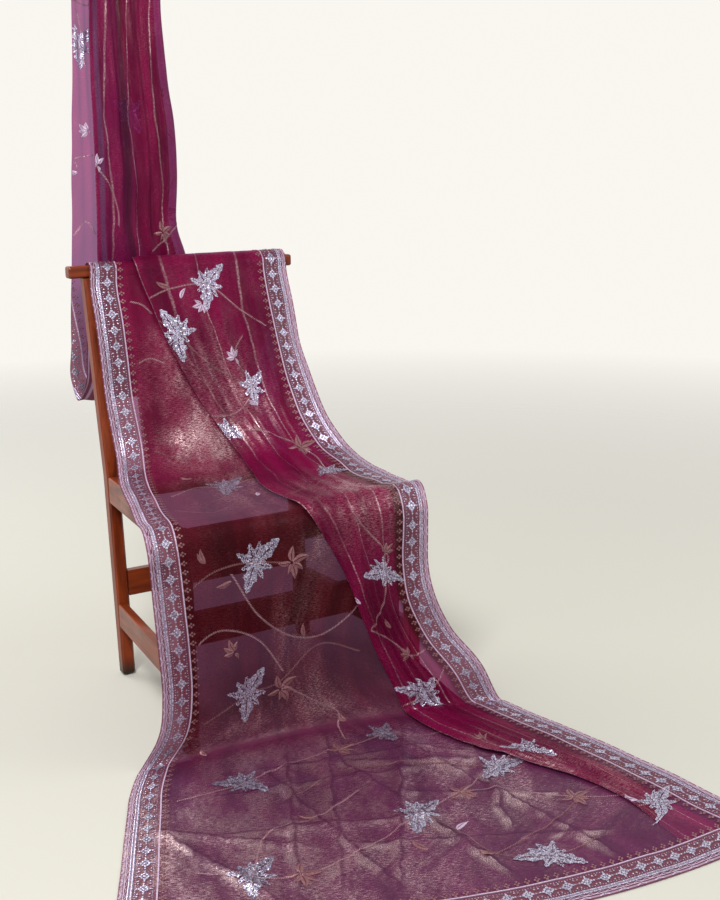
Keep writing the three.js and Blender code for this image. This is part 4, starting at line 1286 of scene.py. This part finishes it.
def border_repeat():
    half = REPEAT / 2
    zigzag = [(11 - 1.6 * math.sin(t * 4 * math.pi), REPEAT * t) for t in np.linspace(0, 1, 9)]
    white = [strip_of(scallop(5.0, 0, REPEAT), 2.6), straight(8.5, 1.5),
             straight(STRAIGHT_CORD, 2.6, lift=1.2), strip_of(zigzag, 1.0)]
    silver = [disc(x, (i + 0.5) * REPEAT / 10, 1.9) for i in range(10) for x in (15.5, 20.5)]
    silver += [disc(x + random.uniform(-0.6, 0.6), (i + 0.5) * REPEAT / 7, 1.0, crown=0.2)
               for i in range(7) for x in (25.5, 52.5)]
    silver += [disc(DIAMONDS + x, half + y, r, lift=1.0) for x, y, r in DIAMOND]
    rose = [disc(DIAMONDS + dx, dy, 1.7)
            for dx, dy in ((0, 0), (-8, 2.5), (8, 2.5), (-8, REPEAT - 2.5), (8, REPEAT - 2.5))]
    rose += [disc(STRAIGHT_CORD + dx, centre + dy, r)
             for centre in (REPEAT * 0.25, REPEAT * 0.75) for dx, dy, r in PICOT]
    return {"white": gather(white), "silver": gather(silver), "rose": gather(rose)}


border_works = {
    "white": Needlework("border_cords", lilac_white),
    "silver": Needlework("border_diamonds", sequin_silver),
    "rose": Needlework("border_picots", copper_silk),
}
REPEAT_SHAPES = border_repeat()
print("faces in one repeat:", {kind: len(shape[1]) for kind, shape in REPEAT_SHAPES.items()})

# %% [markdown]
# ## Laying a strip along an edge
#
# The edges flare and bend, so a strip is laid by how far one has gone along its edge. Its drawing
# is turned straight into spots of the cloth, and so it follows the edge exactly.

# %% Along an edge
def edge_travel(line):
    """How far along an edge each length of the cloth is, as two matching lists."""
    fine = np.linspace(0, SAREE_LENGTH, 2400)
    steps = np.linalg.norm(np.diff(along_rows(line, fine), axis=0), axis=1)
    return fine, np.concatenate([[0], np.cumsum(steps)])


def lay_border(count, start, spot_of):
    """Lays a number of repeats; spot_of turns distances in and along the strip to spots of cloth.

    At the corners the strips meet on a slanting line, so a face is kept where its own edge is the
    nearest one.
    """
    for number in range(count):
        for finish, (drawn, faces) in REPEAT_SHAPES.items():
            points = np.array(drawn)
            spots, into_cloth = spot_of(points[:, 0], start + number * REPEAT + points[:, 1])
            widths = full_width(spots[:, 1])
            nearest_edge = np.min([spots[:, 0], widths - spots[:, 0], spots[:, 1]], axis=0)
            fits = (into_cloth > 0.3) & (into_cloth < nearest_edge + 0.6)
            kept = [face for face in faces if all(fits[i] for i in face)]
            used = sorted({i for face in kept for i in face})
            if used:
                index = {old: new for new, old in enumerate(used)}
                kept = [tuple(index[i] for i in face) for face in kept]
                border_works[finish].add_at(spots[used], points[used, 2], kept)


# %% [markdown]
# ## The border along three edges
#
# The left edge is partly turned under where the cloth is gathered, so the strip's outer part is
# left out there. The right edge turns its own strip back behind the hanging length, and the strip
# across the floor end runs from edge to edge through all the folds.

# %% Laying the border
left_lengths, left_travel = edge_travel(LEFT_LINE)
right_lengths, right_travel = edge_travel(RIGHT_LINE)


def on_left(inward, onward):
    lengths = np.interp(onward, left_travel, left_lengths)
    kept = inward - (BORDER - size_at("border", lengths))
    return np.stack([kept, lengths], axis=1), kept


def on_right(inward, onward):
    lengths = np.interp(onward, right_travel, right_lengths)
    return np.stack([full_width(lengths) - inward, lengths], axis=1), inward


def on_end(inward, onward):
    return np.stack([onward, inward], axis=1), inward


end_width = float(full_width(0.0)[0])
end_count = int(end_width // REPEAT)
lay_border(int(left_travel[-1] // REPEAT), 0.0, on_left)
lay_border(int(right_travel[-1] // REPEAT), 0.0, on_right)
lay_border(end_count, (end_width - end_count * REPEAT) / 2, on_end)

needlework = [work.make() for work in (sequins, cords, whites, silks, *border_works.values())]


# %% [markdown]
# ## The chair's wood and metal
#
# The chair is stained and varnished beech. The stain is orange-brown and darker in the pores, and
# the grain runs along each piece, so pieces that stand, run across and run back each get the same
# wood with its pattern turned. The front ones are painted brighter and redder, as painted light
# where the cloth shades them. The feet darken towards the floor over their last 45 mm.

# %% Varnished wood
ORANGE_BROWN = (0.22, 0.036, 0.007, 1)
RED_BROWN = (0.08, 0.012, 0.004, 1)
PALE_BROWN = (0.36, 0.17, 0.08, 1)
# The front wood is painted brighter and redder, as painted light where the cloth shades it.
FRONT_PAINTED_LIT_PALE = (0.44, 0.062, 0.010, 1)
FRONT_PAINTED_LIT_DEEP = (0.24, 0.030, 0.006, 1)
# Colour that the wood darkens to within 45 mm of the floor.
NEAR_FLOOR_DARK = (0.018, 0.008, 0.004, 1)
ACROSS_GRAIN = 34.0
ALONG_GRAIN = 2.2


def varnished_wood(name, grain_axis, light, dark, gloss=0.25):
    """Wood with its grain along one axis: 0 is X, 1 is Y, 2 is Z."""
    graph = new_graph(name)
    place = graph.place()
    scale = [ACROSS_GRAIN] * 3
    scale[grain_axis] = ALONG_GRAIN
    turned = graph.stretched(place, scale)
    grain = graph.noise(turned, 2.0, 6.0, Roughness=0.62, Distortion=0.7)
    pores = graph.noise(turned, 11.0, 3.0, Roughness=0.7)
    wear = graph.noise(place, 9.0, 3.0)
    pore_colour = tuple(0.35 * c for c in dark[:3]) + (1,)
    colour = graph.blend(graph.ramp(grain, 0.34, 0.66), dark, light)
    colour = graph.blend(graph.ramp(pores, 0.60, 0.74, 0.0, 0.55), colour, pore_colour)
    # Darker towards the floor, over the last 45 mm.
    colour = graph.blend(graph.ramp(graph.parts(place)[2], 0.045, 0.008), colour, NEAR_FLOOR_DARK)
    varnish = graph.node(
        "BsdfPrincipled", Base_Color=colour, Specular_IOR_Level=0.2, Coat_Weight=gloss,
        Coat_Roughness=0.12, Roughness=graph.ramp(wear, 0.3, 0.7, 0.28, 0.48),
        Normal=graph.bump(pores, 0.18, 0.0004))
    return graph.finish(varnish.outputs[0])


# The front pieces get the brightened wood, as painted light.
painted_lit_front_upright_wood = varnished_wood("painted_lit_front_upright_wood", 2, FRONT_PAINTED_LIT_PALE, FRONT_PAINTED_LIT_DEEP)
painted_lit_front_cross_wood = varnished_wood("painted_lit_front_cross_wood", 0, FRONT_PAINTED_LIT_PALE, FRONT_PAINTED_LIT_DEEP)
upright_wood = varnished_wood("upright_wood", 2, ORANGE_BROWN, RED_BROWN)
cross_wood = varnished_wood("cross_wood", 0, ORANGE_BROWN, RED_BROWN)
side_wood = varnished_wood("side_wood", 1, ORANGE_BROWN, RED_BROWN)
stile_wood = varnished_wood("stile_wood", 2, (0.24, 0.055, 0.012, 1), (0.10, 0.022, 0.006, 1), 0.2)
panel_wood = varnished_wood("panel_wood", 2, PALE_BROWN, (0.26, 0.11, 0.045, 1))
rod_wood = varnished_wood("rod_wood", 0, (0.22, 0.10, 0.045, 1), (0.10, 0.04, 0.018, 1), 0.3)


def dress(node, material):
    """Gives a node of the frame its finish."""
    mesh = bpy.data.objects[node].data
    mesh.materials.clear()
    mesh.materials.append(material)


SIDED = {"front_leg": painted_lit_front_upright_wood, "back_post": upright_wood, "back_stile": stile_wood,
         "seat_rail": side_wood, "stretcher": side_wood}
SINGLE = {"top_rail": cross_wood, "seat_rail_back": cross_wood, "stretcher_back": cross_wood,
          "seat_rail_front": painted_lit_front_cross_wood, "stretcher_front": painted_lit_front_cross_wood,
          "back_panel": panel_wood, "hanging_rod": rod_wood}
for stem, material in SIDED.items():
    for side in ("left", "right"):
        dress(f"{stem}_{side}", material)
for node, material in SINGLE.items():
    dress(node, material)
print("wooden nodes dressed")

# %% [markdown]
# ## The corner plates
#
# Each corner of the seat's frame is braced by a small plate of zinc-plated steel. Zinc has a dull,
# cloudy shine, so its roughness varies in patches.

# %% Zinc plate
g = new_graph("zinc_plate")
cloud = g.noise(g.place(), 120.0, 4.0)
plate = g.node("BsdfPrincipled", Metallic=1.0,
               Base_Color=g.blend(cloud, (0.36, 0.37, 0.38, 1), (0.60, 0.61, 0.62, 1)),
               Roughness=g.ramp(cloud, 0.3, 0.7, 0.28, 0.5))
zinc = g.finish(plate.outputs[0])
for end in ("front", "back"):
    for side in ("left", "right"):
        dress(f"bracket_{end}_{side}", zinc)
print("plates dressed")


# %% [markdown]
# ## The flat size of the cloth
#
# The size that the sheet was cut to is printed.

print("flat size", CLOTH_WIDTH / 1000, "by", round(SAREE_LENGTH / 1000, 3), "m")

# %% [markdown]
# ## Floor and light
#
# A pale floor that fades into the pale surround, so that no horizon shows through the sheer cloth,
# and large soft lights as in a studio: one high in front and a fainter one from each side. Colours
# are shown as they are, with no film-like curve, since a deep dye would look chalky under one.

# %% Floor, surround and lights
FLOOR_SIZE = 30.0
FLOOR_COLOUR = (0.50, 0.50, 0.465, 1)
SURROUND_COLOUR = (1.0, 0.975, 0.92, 1)
LIGHT_COLOUR = (1.0, 0.97, 0.93)
bpy.ops.mesh.primitive_plane_add(size=FLOOR_SIZE)
floor = bpy.context.active_object
floor.name = "studio_floor"
g = new_graph("studio_floor")
distance = g.vectors("LENGTH", g.place(), output="Value")
surface = g.node("BsdfDiffuse", FLOOR_COLOUR).outputs[0]
open_air = g.node("BsdfTransparent").outputs[0]
floor.data.materials.append(g.finish(g.layers(g.ramp(distance, 0.9, 5.0), surface, open_air)))

bpy.context.scene.view_settings.view_transform = "Standard"
world = bpy.data.worlds.new("studio")
bpy.context.scene.world = world
g = Graph(world)
_, backward, upward = g.parts(g.place("Generated"))
strength = g.times(g.ramp(backward, -0.5, 0.25, 0.56, 0.95), g.ramp(upward, 0.35, 0.9, 1.0, 0.65))
g.finish(g.node("Background", SURROUND_COLOUR, strength).outputs[0], "OutputWorld")

# Each light: name, place in chair millimetres, what it looks at, width, and watts.
LIGHTS = (
    ("key", (-1900, -2300, 3500), (100, -100, 500), 1.1, 165),
    ("fill", (2300, -1800, 1900), (0, -300, 500), 1.8, 24),
    ("rim", (-900, 2000, 2300), (0, 0, 700), 1.2, 44),
)
for name, place, target, size, watts in LIGHTS:
    lamp = bpy.data.objects.new(name, bpy.data.lights.new(name, "AREA"))
    lamp.data.size = size
    lamp.data.energy = watts
    lamp.data.color = LIGHT_COLOUR
    start = Vector(in_frame(place))
    aim = Vector(in_frame(target)) - start
    turn = aim.to_track_quat("-Z", "Y").to_matrix().to_4x4()
    lamp.matrix_world = Matrix.Translation(start) @ turn
    bpy.context.collection.objects.link(lamp)
print(len(LIGHTS), "lights and a floor", FLOOR_SIZE, "m wide")
